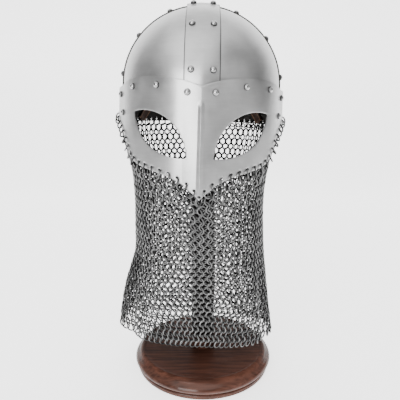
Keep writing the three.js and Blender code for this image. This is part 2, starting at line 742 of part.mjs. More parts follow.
// Rivets in pairs along a band, from one foot over the crown to the other
function addBandPairs(prefix, lifts, outOf, halfAcross, halfAlong, toPoint) {
  for (const [row, lift] of lifts.entries()) {
    for (const [end, bend] of [['a', lift], ['b', 180 - lift]]) {
      for (const [edge, side] of [['1', -1], ['2', 1]]) {
        const across = side * RIVET_PAIR_SPREAD / 2;
        const spot = bandPoint(across, bend, 0, outOf(across, bend), halfAcross, halfAlong);
        const normal = new THREE.Vector3(
          spot.across / (halfAcross * halfAcross),
          spot.along / (halfAlong * halfAlong),
          (spot.height - WALL_HEIGHT) / (SKULL_RISE * SKULL_RISE),
        ).normalize();
        const name = `${prefix}_rivet_${end}${row + 1}_${edge}`;
        addRivet(name, toPoint(spot.across, spot.along, spot.height), toPoint(...normal.toArray()));
      }
    }
  }
}

addBandPairs('crest', CREST_PAIR_LIFTS, crestOut, SKULL_HALF_WIDTH, SKULL_HALF_DEPTH,
  (across, along, height) => new THREE.Vector3(across, along, height));
addBandPairs('lateral', LATERAL_PAIR_LIFTS, lateralOut, SKULL_HALF_DEPTH, SKULL_HALF_WIDTH,
  (across, along, height) => new THREE.Vector3(along, across, height));

for (const row of MASK_RIVETS) {
  for (const [side, mirror] of [['left', -1], ['right', 1]]) {
    const turn = mirror * row.turn;
    const height = row.rise * MASK_RISE;
    addRivet(`${row.name}_rivet_${side}`, maskPoint(turn, height, 1), outward(turn, height, maskInner));
  }
}

for (const [index, turn] of BACK_RIVET_TURNS.entries()) {
  for (const [side, mirror] of [['left', -1], ['right', 1]]) {
    const height = BACK_RIVET_RISE * MASK_RISE;
    const spot = skullPoint(mirror * turn, height, browInner + BROW_WALL + bandStep(turn));
    addRivet(`back_rivet_${index + 1}_${side}`, spot, outward(mirror * turn, height, browInner));
  }
}

assembly.add(named('mail_curtain', mailCurtain(helmet.matrixWorld), finishes.mail));

const capTop = RIM_HEIGHT + restPoint.z - JOINT_GAP;
const postLow = BASE_PROFILE[BASE_PROFILE.length - 1].rise * BASE_HEIGHT + JOINT_GAP;
assembly.add(named('stand_base', baseGeometry(), finishes.wood));
assembly.add(named('stand_post', postGeometry(postLow, capTop - CAP_HEIGHT - JOINT_GAP), finishes.wood));
assembly.add(named('stand_cap', capGeometry(capTop), finishes.wood));

export default assembly;
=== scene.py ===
# %% [markdown]
# # A norse iron helmet on its stand
# The helmet is a dome of four riveted plates under crossed bands, with a spectacle mask in front and a
# curtain of mail below. This script builds its looks around a CAD frame, one piece at a time.

import math

import bmesh
import bpy
import numpy as np
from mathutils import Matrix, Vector
from mathutils.geometry import delaunay_2d_cdt


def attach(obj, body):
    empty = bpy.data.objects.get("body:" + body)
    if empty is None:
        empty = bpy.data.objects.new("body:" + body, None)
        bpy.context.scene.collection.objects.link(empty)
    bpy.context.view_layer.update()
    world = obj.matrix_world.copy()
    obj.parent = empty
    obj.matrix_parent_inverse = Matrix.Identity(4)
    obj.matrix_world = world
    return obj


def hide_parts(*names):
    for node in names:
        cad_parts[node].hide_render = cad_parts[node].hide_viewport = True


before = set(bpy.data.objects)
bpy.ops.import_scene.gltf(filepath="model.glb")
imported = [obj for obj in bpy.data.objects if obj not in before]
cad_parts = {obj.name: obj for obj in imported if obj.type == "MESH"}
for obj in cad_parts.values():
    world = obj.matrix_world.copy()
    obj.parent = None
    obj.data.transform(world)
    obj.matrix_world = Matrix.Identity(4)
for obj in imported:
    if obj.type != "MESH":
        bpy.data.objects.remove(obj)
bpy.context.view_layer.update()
print("CAD nodes:", len(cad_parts))

# %% [markdown]
# ## Sizes
# The helmet's and the stand's sizes are named values in millimetres, and outlines are short tables with
# named columns. A turn is the angle round the helmet in degrees: 0 is the front, 90 is +X. Heights are
# measured up from the back rim. The same names and values shape the CAD solids, so the fine surfaces fall
# on the plain ones. Some things differ for the looks: the step out over the bands is spread wider, the
# nasal's rib is slimmer and taller, the back plates end above the row of holes, and the mail is rings
# that hang lower at the back.

# %% Named sizes
SKULL_HALF_WIDTH = 95.8
SKULL_HALF_DEPTH = 112.0
SKULL_RISE = 92.5
WALL_HEIGHT = 47.0
RIM_FLARE = 1.5
FLARE_END = 2.0
RIM_HEIGHT = 335.0
BROW_RAISE = 22.0
BROW_RAISE_FULL_TURN = 60.0
BROW_RAISE_END_TURN = 100.0
PLATE_WALL = 1.5
SEAM_HALF_GAP = 0.3
LEAN_DEGREES = 1.4

BAND_WIDTH = 37.6
BAND_WALL = 1.5
BROW_TOP = 40.0
BROW_WALL = 1.5
SEAT_GAP = 0.4
FOOT_RISE = 2.0
EAR_FOOT_RISE = 5.0
STEP_OUT_START = 3.0
STEP_OUT_END = 28.0
CLIMB_START = 8.0
CLIMB_END = 22.0
CREASE_END_LIFT = 50.0

MASK_WALL = 1.5
MASK_RISE = 53.5
NASAL_DROP = 119.5
MASK_END_TURN = 88.0
MASK_HOLE_END_TURN = 84.0
CREASE_REACH = 17.0
BROW_CREASE_RISE = 0.8
NASAL_CREASE_RISE = 3.2
RIB_HALF_WIDTH = 3.2
RIB_RISE = 2.0
RIB_TOP_DROP = 22.0
RIB_FADE = 4.0

RIVET_RADIUS = 3.6
RIVET_RISE = 3.3
RIVET_PAIR_SPREAD = 22.6
HOLE_RADIUS = 1.6
HOLE_INSET = 3.6
HOLE_PITCH = 10.2

MAIL_WALL = 4.5
HEM_HEIGHT = 58.0
HEM_TILT = 6.0
HEM_BACK_DROP = 22.0
HEM_BACK_DROP_FULL = 0.9
FOLD_DEPTH = 7.0
FOLD_START = 0.35
LEAVING_SHARE = 0.16
MAIL_TOP_SPREAD = 4.0

STRAP_WIDTH = 14.0
STRAP_WALL = 2.0
STRAP_GAP = 0.8

BASE_RADIUS = 95.7
BASE_HEIGHT = 25.0
POST_RADIUS = 16.0
CAP_RADIUS = 40.0
CAP_DOME_RADIUS = 52.0
CAP_HEIGHT = 26.0
CAP_UNDERCUT = 8.0
JOINT_GAP = 0.3

OVERLAP_STEP = BAND_WALL + SEAT_GAP
BROW_INNER = SEAT_GAP
MASK_INNER = BROW_INNER + BROW_WALL + SEAT_GAP
REST_HEIGHT = WALL_HEIGHT + SKULL_RISE - PLATE_WALL
MILLIMETRE = 0.001
print("skull outside, mm:", 2 * SKULL_HALF_WIDTH, "by", 2 * SKULL_HALF_DEPTH)

# %% Outline tables
MASK_LOWER_EDGE = {
    "turn": [0, 1.7, 5, 9.6, 14.5, 19.7, 26, 33, 41.8, 46.5, 50.8, 54.8, 59, 64.6, 71.3, 78.5, 88],
    "drop": [1, 0.975, 0.933, 0.875, 0.836, 0.807, 0.787, 0.765, 0.737, 0.708, 0.665, 0.596, 0.515,
             0.444, 0.39, 0.33, 0.305],
}
MASK_UPPER_EDGE = {
    "turn": [0, 11, 24, 34.7, 46.6, 55.5, 64, 74, 88],
    "rise": [0.82, 0.925, 0.983, 1, 0.988, 0.944, 0.86, 0.81, 0.785],
}
EYE_UPPER_CURVE = {"turn": [47.3, 35.2, 10.5, 7.6], "drop": [0.256, 0.208, 0.228, 0.642]}
EYE_LOWER_CURVE = {"turn": [7.6, 28.5, 43.6, 47.3], "drop": [0.642, 0.664, 0.491, 0.256]}
CREST_PAIR_LIFTS = [8, 40.5, 75]
LATERAL_PAIR_LIFTS = [8, 38, 66]
MASK_RIVETS = {
    "name": ["nasal", "brow", "temple", "upper_ear", "lower_ear"],
    "turn": [8.1, 28, 49, 70, 64],
    "rise": [0.703, 0.83, 0.806, 0.655, 0.27],
}
BACK_RIVET_TURNS = [112, 132, 152, 172]
BACK_RIVET_RISE = 0.5
MAIL_SECTIONS = {
    "level": [0, 0.1, 0.2, 0.32, 0.45, 0.6, 0.69, 0.78, 0.89, 1],
    "left": [1.07, 0.995, 0.93, 0.903, 0.903, 0.912, 0.98, 1.055, 1.115, 1.15],
    "right": [1, 0.9, 0.835, 0.796, 0.8, 0.822, 0.85, 0.877, 0.917, 0.963],
    "front": [1.03, 1.03, 1.03, 0.99, 0.92, 0.82, 0.76, 0.7, 0.635, 0.58],
    "back": [1, 0.98, 0.95, 0.91, 0.86, 0.81, 0.785, 0.765, 0.75, 0.74],
    "round": [1, 1, 1, 1, 0.97, 0.93, 0.9, 0.86, 0.81, 0.77],
}
MAIL_FOLDS = {
    "turn": [-58, -82, 60, 84, 132, 160, -166, -134],
    "spread": [11, 13, 9, 11, 14, 14, 13, 14],
    "depth": [-0.9, 0.35, -0.8, 0.3, -0.7, 0.7, -0.7, 0.7],
}
STRAP_LOW = {"turn": 118.5, "rise": 0.05}
STRAP_HIGH = {"turn": 141, "rise": 0.98}
BASE_PROFILE = {
    "reach": [0, 0.945, 0.96, 0.96, 0.937, 0.975, 1, 0.98, 0.935, 0.92, 0.9, 0.875, 0.85, 0],
    "rise": [0, 0, 0.03, 0.21, 0.26, 0.34, 0.5, 0.67, 0.78, 0.87, 0.97, 1, 0.96, 0.96],
}
print("mail sections:", len(MAIL_SECTIONS["level"]), "folds:", len(MAIL_FOLDS["turn"]))

# %% [markdown]
# ## The helmet's surface
# One function gives a point of the dome from a turn, a height and a distance outwards. Plates, bands,
# mask, straps and the top of the mail are all laid on it, so they nest without a fitting step.

# %% Curves and the dome


def smooth(low, high, value):
    share = np.clip((value - low) / (high - low), 0, 1)
    return share * share * (3 - 2 * share)


def curve(table, across, key, at):
    """Smooth curve through two columns of a table."""
    xs = np.array(table[across], float)
    ys = np.array(table[key], float)
    last = len(xs) - 1
    rows = np.arange(last + 1)
    before = np.clip(rows - 1, 0, last)
    after = np.clip(rows + 1, 0, last)
    slopes = (ys[after] - ys[before]) / (xs[after] - xs[before])
    place = np.clip(at, xs[0], xs[-1])
    index = np.clip(np.searchsorted(xs, place, side="left") - 1, 0, last - 1)
    width = xs[index + 1] - xs[index]
    t = (place - xs[index]) / width
    values = (2 * t**3 - 3 * t**2 + 1) * ys[index] + (3 * t**2 - 2 * t**3) * ys[index + 1]
    start_slope = (t**3 - 2 * t**2 + t) * width * slopes[index]
    end_slope = (t**3 - t**2) * width * slopes[index + 1]
    return values + start_slope + end_slope


def wrapped(turn):
    """The same turn, counted from -180 to 180."""
    return (np.asarray(turn, float) + 180) % 360 - 180


def rim_edge(turn):
    """Height of the skull's lower rim, which is raised over the brow."""
    return BROW_RAISE * (1 - smooth(BROW_RAISE_FULL_TURN, BROW_RAISE_END_TURN, np.abs(wrapped(turn))))


def mask_lower(turn):
    return WALL_HEIGHT - NASAL_DROP * curve(MASK_LOWER_EDGE, "turn", "drop", np.abs(turn))


def mask_upper(turn):
    return MASK_RISE * curve(MASK_UPPER_EDGE, "turn", "rise", np.abs(turn))


def skull_point(turn, height, out):
    """A point at a distance outside the dome, before the helmet leans."""
    turn, height, out = np.broadcast_arrays(
        np.asarray(turn, float), np.asarray(height, float), np.asarray(out, float)
    )
    below = np.clip((WALL_HEIGHT - height) / WALL_HEIGHT, 0, FLARE_END)
    spread = out + RIM_FLARE * (1 - np.cos(np.pi * below / 2))
    lift = np.maximum(height - WALL_HEIGHT, 0) / (SKULL_RISE + out)
    shrink = np.sqrt(np.maximum(1 - lift * lift, 0))
    x = (SKULL_HALF_WIDTH + spread) * shrink * np.sin(np.radians(turn))
    y = -(SKULL_HALF_DEPTH + spread) * shrink * np.cos(np.radians(turn))
    return np.stack([x, y, height], -1)


def to_world(points):
    """The helmet leans about the point where its crown rests on the stand."""
    lean = math.radians(LEAN_DEGREES)
    x, y, z = points[..., 0], points[..., 1], points[..., 2] - REST_HEIGHT
    leaned_x = x * math.cos(lean) + z * math.sin(lean)
    leaned_z = z * math.cos(lean) - x * math.sin(lean)
    return np.stack([leaned_x, y, leaned_z + RIM_HEIGHT + REST_HEIGHT], -1)


def unit(vectors):
    return vectors / np.linalg.norm(vectors, axis=-1, keepdims=True)


def outward(turn, height, out):
    """The direction straight out of the dome, from short steps round it and up it."""
    step = 0.5
    along = skull_point(turn + step, height, out) - skull_point(turn - step, height, out)
    up = skull_point(turn, height + step, out) - skull_point(turn, height - step, out)
    return unit(np.cross(along, up))


def band_step(turn):
    """How far the brow band and the mask step out to clear the feet of the bands under them."""
    across = np.abs(SKULL_HALF_WIDTH * np.sin(np.radians(turn)))
    along = np.abs(SKULL_HALF_DEPTH * np.cos(np.radians(turn)))
    start = BAND_WIDTH / 2 + STEP_OUT_START
    end = BAND_WIDTH / 2 + STEP_OUT_END
    return OVERLAP_STEP * (1 - smooth(start, end, np.minimum(across, along)))


def across_of(turn):
    """Distance across the dome from its middle line."""
    return SKULL_HALF_WIDTH * np.sin(np.radians(turn))


def crease(across, rise):
    """Rise of the fold down the front, highest on the middle line."""
    return rise * np.maximum(0, 1 - np.abs(across) / CREASE_REACH)


print("rim height in front:", float(rim_edge(0)))

# %% [markdown]
# ## Mesh helpers
# A sheet of metal is a closed wall: an outer face, an inner face and a rim between them. Plain strips
# come from a grid. The mask and the brow band have openings, so they are cut from a flat pattern:
# the outline and the holes are drawn flat, filled with small triangles, and laid on the dome.

# %% Mesh helpers
MERGE_DISTANCE = 0.002
SHARP_DEGREES = 50
CLEAR_OF_FOLD = 0.4
CLEAR_OF_EDGE = 0.5
FILL_TOLERANCE = 1e-5
SEAM_TOLERANCE = 1e-3
EDGE_ROUNDING = 0.3
EDGE_ROUNDING_STEPS = 2


def make_object(name, points, faces, inner=()):
    """A mesh object from points in millimetres, with its seams joined and its faces turned outwards.
    The faces that are numbered as inner ones take the piece's second material."""
    mesh = bpy.data.meshes.new(name)
    mesh.from_pydata((np.asarray(points) * MILLIMETRE).tolist(), [], faces)
    for index in inner:
        mesh.polygons[index].material_index = 1
    shell = bmesh.new()
    shell.from_mesh(mesh)
    bmesh.ops.remove_doubles(shell, verts=shell.verts, dist=MERGE_DISTANCE * MILLIMETRE)
    bmesh.ops.recalc_face_normals(shell, faces=shell.faces)
    shell.to_mesh(mesh)
    shell.free()
    made = bpy.data.objects.new(name, mesh)
    bpy.context.scene.collection.objects.link(made)
    return made


def grid_wall(name, columns, rows, place):
    """A closed wall over a grid. place(column, row, side) gives points, side 0 inside and 1 outside."""
    column, row = np.meshgrid(columns, rows, indexing="ij")
    points = np.concatenate([place(column, row, side).reshape(-1, 3) for side in (0, 1)])
    column_count, row_count = column.shape

    def at(side, i, j):
        return (side * column_count + i) * row_count + j

    faces = []
    inner = []
    for i in range(column_count - 1):
        for j in range(row_count - 1):
            faces.append([at(1, i, j), at(1, i + 1, j), at(1, i + 1, j + 1), at(1, i, j + 1)])
            inner.append(len(faces))
            faces.append([at(0, i, j), at(0, i, j + 1), at(0, i + 1, j + 1), at(0, i + 1, j)])
        for j in (0, row_count - 1):
            inner.append(len(faces))
            faces.append([at(0, i, j), at(0, i + 1, j), at(1, i + 1, j), at(1, i, j)])
    for i in (0, column_count - 1):
        for j in range(row_count - 1):
            inner.append(len(faces))
            faces.append([at(0, i, j), at(1, i, j), at(1, i, j + 1), at(0, i, j + 1)])
    return make_object(name, points, faces, inner)


def mark_across(piece, shares, row_count):
    """Stores how far each point of a grid wall lies from the middle, from -1 to 1."""
    marks = piece.data.attributes.new("across", "FLOAT", "POINT")
    marks.data.foreach_set("value", np.tile(np.repeat(shares, row_count), 2).astype(np.float32))


def inside(points, loop):
    """Which points lie inside a closed loop in the plane."""
    x, y = points[:, 0:1], points[:, 1:2]
    start, end = loop, np.roll(loop, -1, 0)
    crosses = (start[:, 1] > y) != (end[:, 1] > y)
    rise = np.where(end[:, 1] == start[:, 1], 1, end[:, 1] - start[:, 1])
    reach = (end[:, 0] - start[:, 0]) * (y - start[:, 1]) / rise + start[:, 0]
    return np.sum(crosses & (x < reach), 1) % 2 == 1


def inside_pattern(points, outline, openings):
    kept = inside(points, outline)
    for opening in openings:
        kept &= ~inside(points, opening)
    return kept


def cut_sheet(name, outline, openings, spacing, place, ring=False, folds=()):
    """A closed wall cut to an outline with openings, drawn flat as (along, height). Extra columns of
    points at the folds keep them crisp. A ring's two ends meet, so no rim is made there."""
    loops = [outline, *openings]
    corners = np.concatenate(loops)
    edges = []
    start = 0
    for loop in loops:
        count = len(loop)
        edges += [(start + i, start + (i + 1) % count) for i in range(count)]
        start += count
    low, high = corners.min(0), corners.max(0)
    us = np.arange(math.ceil(low[0] / spacing), math.floor(high[0] / spacing) + 1) * spacing
    us = [u for u in us if all(abs(u - fold) > spacing * CLEAR_OF_FOLD for fold in folds)] + list(folds)
    vs = np.arange(math.ceil(low[1] / spacing), math.floor(high[1] / spacing) + 1) * spacing
    grid = np.stack(np.meshgrid(us, vs, indexing="ij"), -1).reshape(-1, 2)
    grid = grid[inside_pattern(grid, outline, openings)]
    nearest = np.min(np.linalg.norm(grid[:, None] - corners[None], axis=2), axis=1)
    grid = grid[nearest > spacing * CLEAR_OF_EDGE]
    flat = [Vector(point) for point in np.concatenate([corners, grid]).tolist()]
    filled = delaunay_2d_cdt(flat, edges, [], 0, FILL_TOLERANCE)
    spots = np.array([spot[:] for spot in filled[0]])
    triangles = np.array([list(face) for face in filled[2]])
    middles = spots[triangles].mean(1)
    triangles = triangles[inside_pattern(middles, outline, openings)]
    count = len(spots)
    points = np.concatenate([place(spots[:, 0], spots[:, 1], side) for side in (0, 1)])
    faces = (triangles + count).tolist() + triangles[:, ::-1].tolist()
    uses = {}
    for a, b, c in triangles.tolist():
        for first, second in ((a, b), (b, c), (c, a)):
            uses.setdefault((min(first, second), max(first, second)), []).append((first, second))
    for pair in uses.values():
        first, second = pair[0]
        ends = spots[[first, second], 0]
        at_start = np.all(ends < low[0] + SEAM_TOLERANCE)
        at_end = np.all(ends > high[0] - SEAM_TOLERANCE)
        if len(pair) == 1 and not (ring and (at_start or at_end)):
            faces.append([first, second, second + count, first + count])
    return make_object(name, points, faces, range(len(triangles), 2 * len(triangles)))


def soften(piece):
    """Rounds the sharp edges a little, so that they catch the light."""
    bevel = piece.modifiers.new("rounded_edges", "BEVEL")
    bevel.width = EDGE_ROUNDING * MILLIMETRE
    bevel.segments = EDGE_ROUNDING_STEPS
    bevel.limit_method = "ANGLE"
    bevel.angle_limit = math.radians(SHARP_DEGREES)
    bake(piece)


def bake(piece):
    """Keeps the evaluated mesh and removes the modifiers."""
    shown = piece.evaluated_get(bpy.context.evaluated_depsgraph_get())
    mesh = bpy.data.meshes.new_from_object(shown)
    piece.modifiers.clear()
    piece.data = mesh


def finish_piece(piece, materials, nodes):
    """Shading, materials and the piece's place in the frame."""
    piece.data.shade_smooth()
    piece.data.set_sharp_from_angle(angle=math.radians(SHARP_DEGREES))
    marks = np.zeros(len(piece.data.polygons), np.int32)
    piece.data.polygons.foreach_get("material_index", marks)
    piece.data.materials.clear()
    for material in materials:
        piece.data.materials.append(material)
    piece.data.polygons.foreach_set("material_index", np.minimum(marks, len(materials) - 1))
    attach(piece, "root")
    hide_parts(*nodes)
    print(piece.name, "faces:", len(piece.data.polygons))


# %% [markdown]
# ## Materials
# Shader arithmetic is easier to read as plain formulas, so a small class wraps a socket and gives it
# operators. Every pattern comes from object coordinates in metres, or from an attribute on the mesh. One
# function adds any node, here and in the Geometry Nodes further down.

# %% Node helpers
NOISE_ROUGHNESS = 0.55


def feed(tree, socket, value):
    """Gives a socket a value, or links another socket to it."""
    source = value.socket if isinstance(value, Value) else value
    if isinstance(source, bpy.types.NodeSocket):
        tree.links.new(source, socket)
    else:
        socket.default_value = source


def add_node(tree, kind, options=None, values=(), **named):
    """Adds a node. Its options are set first, and its sockets are then fed in order or by name."""
    made = tree.nodes.new(kind)
    for key, value in (options or {}).items():
        setattr(made, key, value)
    for socket, value in zip(made.inputs, values):
        feed(tree, socket, value)
    for key, value in named.items():
        feed(tree, made.inputs[key.replace("_", " ")], value)
    return made


class Value:
    """A shader socket that can be added, subtracted and multiplied like a number."""

    def __init__(self, shader, socket):
        self.shader = shader
        self.socket = socket

    def __add__(self, other):
        return self.shader.math("ADD", self, other)

    def __sub__(self, other):
        return self.shader.math("SUBTRACT", self, other)

    def __rsub__(self, other):
        return self.shader.math("SUBTRACT", other, self)

    def __mul__(self, other):
        return self.shader.math("MULTIPLY", self, other)

    __radd__ = __add__
    __rmul__ = __mul__


class Shader:
    """A material with a principled surface, built from formulas."""

    def __init__(self, name, **constants):
        self.material = bpy.data.materials.new(name)
        self.material.use_nodes = True
        self.tree = self.material.node_tree
        self.surface = self.tree.nodes["Principled BSDF"]
        for key, value in constants.items():
            self.surface.inputs[key.replace("_", " ")].default_value = value
        self.place = self.node("ShaderNodeTexCoord", "Object")

    def node(self, kind, output, options=None, values=(), **named):
        return Value(self, add_node(self.tree, kind, options, values, **named).outputs[output])

    def math(self, operation, first, second=0.0):
        return self.node("ShaderNodeMath", "Value", {"operation": operation}, [first, second])

    def noise(self, scale, detail=3.0, stretch=(1, 1, 1)):
        spread = self.node("ShaderNodeMapping", "Vector", Vector=self.place, Scale=stretch)
        return self.node(
            "ShaderNodeTexNoise", "Fac",
            Vector=spread, Scale=scale, Detail=detail, Roughness=NOISE_ROUGHNESS,
        )

    def attribute(self, name):
        return self.node("ShaderNodeAttribute", "Fac", {"attribute_name": name})

    def ramp(self, value, low, high):
        return self.node(
            "ShaderNodeMapRange", "Result", {"interpolation_type": "SMOOTHSTEP"},
            Value=value, From_Min=low, From_Max=high,
        )

    def mix(self, share, first, second):
        made = add_node(self.tree, "ShaderNodeMix", {"data_type": "RGBA"})
        for index, value in ((0, share), (6, first), (7, second)):
            feed(self.tree, made.inputs[index], value)
        return Value(self, made.outputs[2])

    def bump(self, height, distance, strength):
        return self.node("ShaderNodeBump", "Normal", Height=height, Distance=distance, Strength=strength)

    def finish(self, **inputs):
        for key, value in inputs.items():
            feed(self.tree, self.surface.inputs[key.replace("_", " ")], value)
        return self.material


def grey(level, warmth=0.0):
    return (level * (1 + warmth), level, level * (1 - warmth), 1)


# %% [markdown]
# Ground steel is nearly even. Faint streaks from grinding and broad cloudy patches change the
# roughness more than the colour, which is how satin metal reads in soft light. Painted shade darkens a
# thin line near each edge of the bands, the foot of each rivet head, and the dull inner sides.

# %% Steel
CLOUD_SHARE = 0.8
SHADE_SPAN = (0.3, 0.7)
CLOUD_ROUGHNESS = 0.2
STREAK_ROUGHNESS = 0.06
STREAK_DEPTH = 0.4
GRAIN_DEPTH = 0.00003
GRAIN_STRENGTH = 0.3
EDGE_SHADE_START = 0.935
EDGE_SHADE_END = 0.965
EDGE_SHADE_TONE = 0.1


def satin_steel(name, dark, light, roughness, edge_shade=False):
    """Ground steel. With edge shade, a thin line of painted shade runs near each edge of the face."""
    steel = Shader(name, Metallic=1.0)
    clouds = steel.noise(scale=26, detail=4)
    streaks = steel.noise(scale=1, stretch=(60, 60, 500))
    grain = steel.noise(scale=3200, detail=2)
    shade = steel.ramp(CLOUD_SHARE * clouds + (1 - CLOUD_SHARE) * streaks, *SHADE_SPAN)
    colour = steel.mix(shade, dark, light)
    if edge_shade:
        # A thin line of painted shade darkens the face near each edge.
        edge = steel.math("ABSOLUTE", steel.attribute("across"))
        colour = steel.mix(steel.ramp(edge, EDGE_SHADE_START, EDGE_SHADE_END), colour, grey(EDGE_SHADE_TONE))
    unevenness = CLOUD_ROUGHNESS * (clouds - 0.5) + STREAK_ROUGHNESS * (streaks - 0.5)
    return steel.finish(
        Base_Color=colour,
        Roughness=roughness + unevenness,
        Normal=steel.bump(grain + STREAK_DEPTH * streaks, GRAIN_DEPTH, GRAIN_STRENGTH),
    )


plate_steel = satin_steel("plate_steel", dark=grey(0.44), light=grey(0.57), roughness=0.4)
band_steel = satin_steel("band_steel", dark=grey(0.44), light=grey(0.57), roughness=0.39)
over_band_steel = satin_steel(
    "over_band_steel", dark=grey(0.39), light=grey(0.51), roughness=0.39, edge_shade=True
)
# The inner sides are duller, and painted nearly black as the shade inside the helmet.
inner_shade_steel = satin_steel("inner_shade_steel", dark=grey(0.035, 0.05), light=grey(0.075, 0.05), roughness=0.6)

# %% Rivet steel
RIVET_SHADE_LOW = 0.2
RIVET_SHADE_HIGH = 0.8
RIVET_SHADE_TONE = 0.05
RIVET_TONE = 0.44
RIVET_FOOT_ROUGHNESS = 0.5
RIVET_POLISH = 0.27


def head_steel():
    """Polished rivet heads with painted shade in the corner at their foot."""
    steel = Shader("rivet_steel", Metallic=1.0)
    # The dark foot of each head is painted shade where it meets the plate.
    unshaded = steel.ramp(steel.attribute("lift"), RIVET_SHADE_LOW, RIVET_SHADE_HIGH)
    return steel.finish(
        Base_Color=steel.mix(unshaded, grey(RIVET_SHADE_TONE), grey(RIVET_TONE)),
        Roughness=RIVET_FOOT_ROUGHNESS - RIVET_POLISH * unshaded,
    )


rivet_steel = head_steel()

# %% [markdown]
# Ring wire is painted with light and shade: where it faces out it is painted bright as if lit, and where it
# faces in it is painted nearly black as shade, so an attribute that tells which way the wire faces blends the
# two.

# %% Ring steel
RING_FACE_START = 0.2
RING_FACE_END = 0.95
RING_SHADE = 0.012
RING_DULL = 0.09
RING_BRIGHT = 0.27
RING_TONE_SHARE = 0.6
RING_SHADE_ROUGHNESS = 0.75
RING_POLISH = 0.4


def ring_steel():
    steel = Shader("mail_steel", Specular_IOR_Level=0.1)
    # Painted light and shade: wire facing out is painted lit, and wire facing in is painted nearly black.
    face = steel.ramp(steel.attribute("face"), RING_FACE_START, RING_FACE_END)
    wear = steel.noise(scale=900, detail=2)
    mixed = RING_TONE_SHARE * steel.attribute("tone") + (1 - RING_TONE_SHARE) * wear
    worn = steel.mix(mixed, grey(RING_DULL), grey(RING_BRIGHT))
    return steel.finish(
        Base_Color=steel.mix(face, grey(RING_SHADE), worn),
        Metallic=face,
        Roughness=RING_SHADE_ROUGHNESS - RING_POLISH * face,
    )


mail_steel = ring_steel()
print("steels:", plate_steel.name, band_steel.name, over_band_steel.name, inner_shade_steel.name)
print("more steels:", rivet_steel.name, mail_steel.name)

# %% [markdown]
# The stand is stained hardwood. Long stretched noise makes the grain, a clear coat gives the moulded
# rim its shine, and the post is painted nearly black as the shade under the mail. The straps are plain
# brown leather with a paler stitched line near each edge.

# %% Wood
RIM_GLOSS = 0.4
RIM_GLOSS_END = 0.019
RIM_TOP = 0.0225
POST_SHADE_START = 0.026
POST_SHADE_FULL = 0.05
POST_SHADE = (0.003, 0.002, 0.0015, 1)
WOOD_DARK = (0.02, 0.0082, 0.0055, 1)
WOOD_LIGHT = (0.095, 0.038, 0.025, 1)
GRAIN_SHARE = 0.55
FIGURE_SPAN = (0.32, 0.68)
WOOD_ROUGHNESS = 0.42
PORE_ROUGHNESS = 0.15
PORE_DEPTH = 0.0001
PORE_STRENGTH = 0.2


def lacquered_wood():
    wood = Shader("polished_wood", Coat_Roughness=0.14, Specular_IOR_Level=0.04)
    warp = wood.noise(scale=9, stretch=(0.35, 1, 1))
    grain = wood.noise(scale=1, detail=5, stretch=(22, 240, 240))
    figure = wood.ramp(GRAIN_SHARE * grain + (1 - GRAIN_SHARE) * warp, *FIGURE_SPAN)
    stained = wood.mix(figure, WOOD_DARK, WOOD_LIGHT)
    height = wood.node("ShaderNodeSeparateXYZ", "Z", Vector=wood.place)
    # Painted shade: above the base the post turns nearly black, as the mail around it shades it.
    post = wood.ramp(height, POST_SHADE_START, POST_SHADE_FULL)
    return wood.finish(
        Coat_Weight=RIM_GLOSS - RIM_GLOSS * wood.ramp(height, RIM_GLOSS_END, RIM_TOP),
        Base_Color=wood.mix(post, stained, POST_SHADE),
        Roughness=WOOD_ROUGHNESS + PORE_ROUGHNESS * grain,
        Normal=wood.bump(grain, PORE_DEPTH, PORE_STRENGTH),
    )


# %% Leather
HIDE_DARK = (0.035, 0.014, 0.007, 1)
HIDE_LIGHT = (0.09, 0.038, 0.02, 1)
STITCH_COLOUR = (0.26, 0.14, 0.08, 1)
STITCH_INNER_EDGE = (0.62, 0.68)
STITCH_OUTER_EDGE = (0.74, 0.8)
HIDE_ROUGHNESS = 0.55
HIDE_PORE_ROUGHNESS = 0.2
HIDE_PORE_DEPTH = 0.0002
HIDE_PORE_STRENGTH = 0.4


def strap_leather():
    leather = Shader("strap_leather")
    edge = leather.math("ABSOLUTE", leather.attribute("across"))
    line = leather.ramp(edge, *STITCH_INNER_EDGE) - leather.ramp(edge, *STITCH_OUTER_EDGE)
    pores = leather.noise(scale=1500)
    hide = leather.mix(pores, HIDE_DARK, HIDE_LIGHT)
    return leather.finish(
        Base_Color=leather.mix(line, hide, STITCH_COLOUR),
        Roughness=HIDE_ROUGHNESS + HIDE_PORE_ROUGHNESS * pores,
        Normal=leather.bump(pores, HIDE_PORE_DEPTH, HIDE_PORE_STRENGTH),
    )


polished_wood = lacquered_wood()
leather = strap_leather()
print("wood and leather:", polished_wood.name, leather.name)

# %% [markdown]
# ## Skull plates
# Each plate is a quarter of the dome, set back a little from the seams. A smith would raise it over a
# form from sheet; here the grid follows the ellipsoid exactly, and the rim stays open for the head. The
# back plates end above the row of holes, so that light shows through the holes.

# %% Skull plates
PLATE_COLUMNS = 37
WALL_ROWS = 7
DOME_ROWS = 37


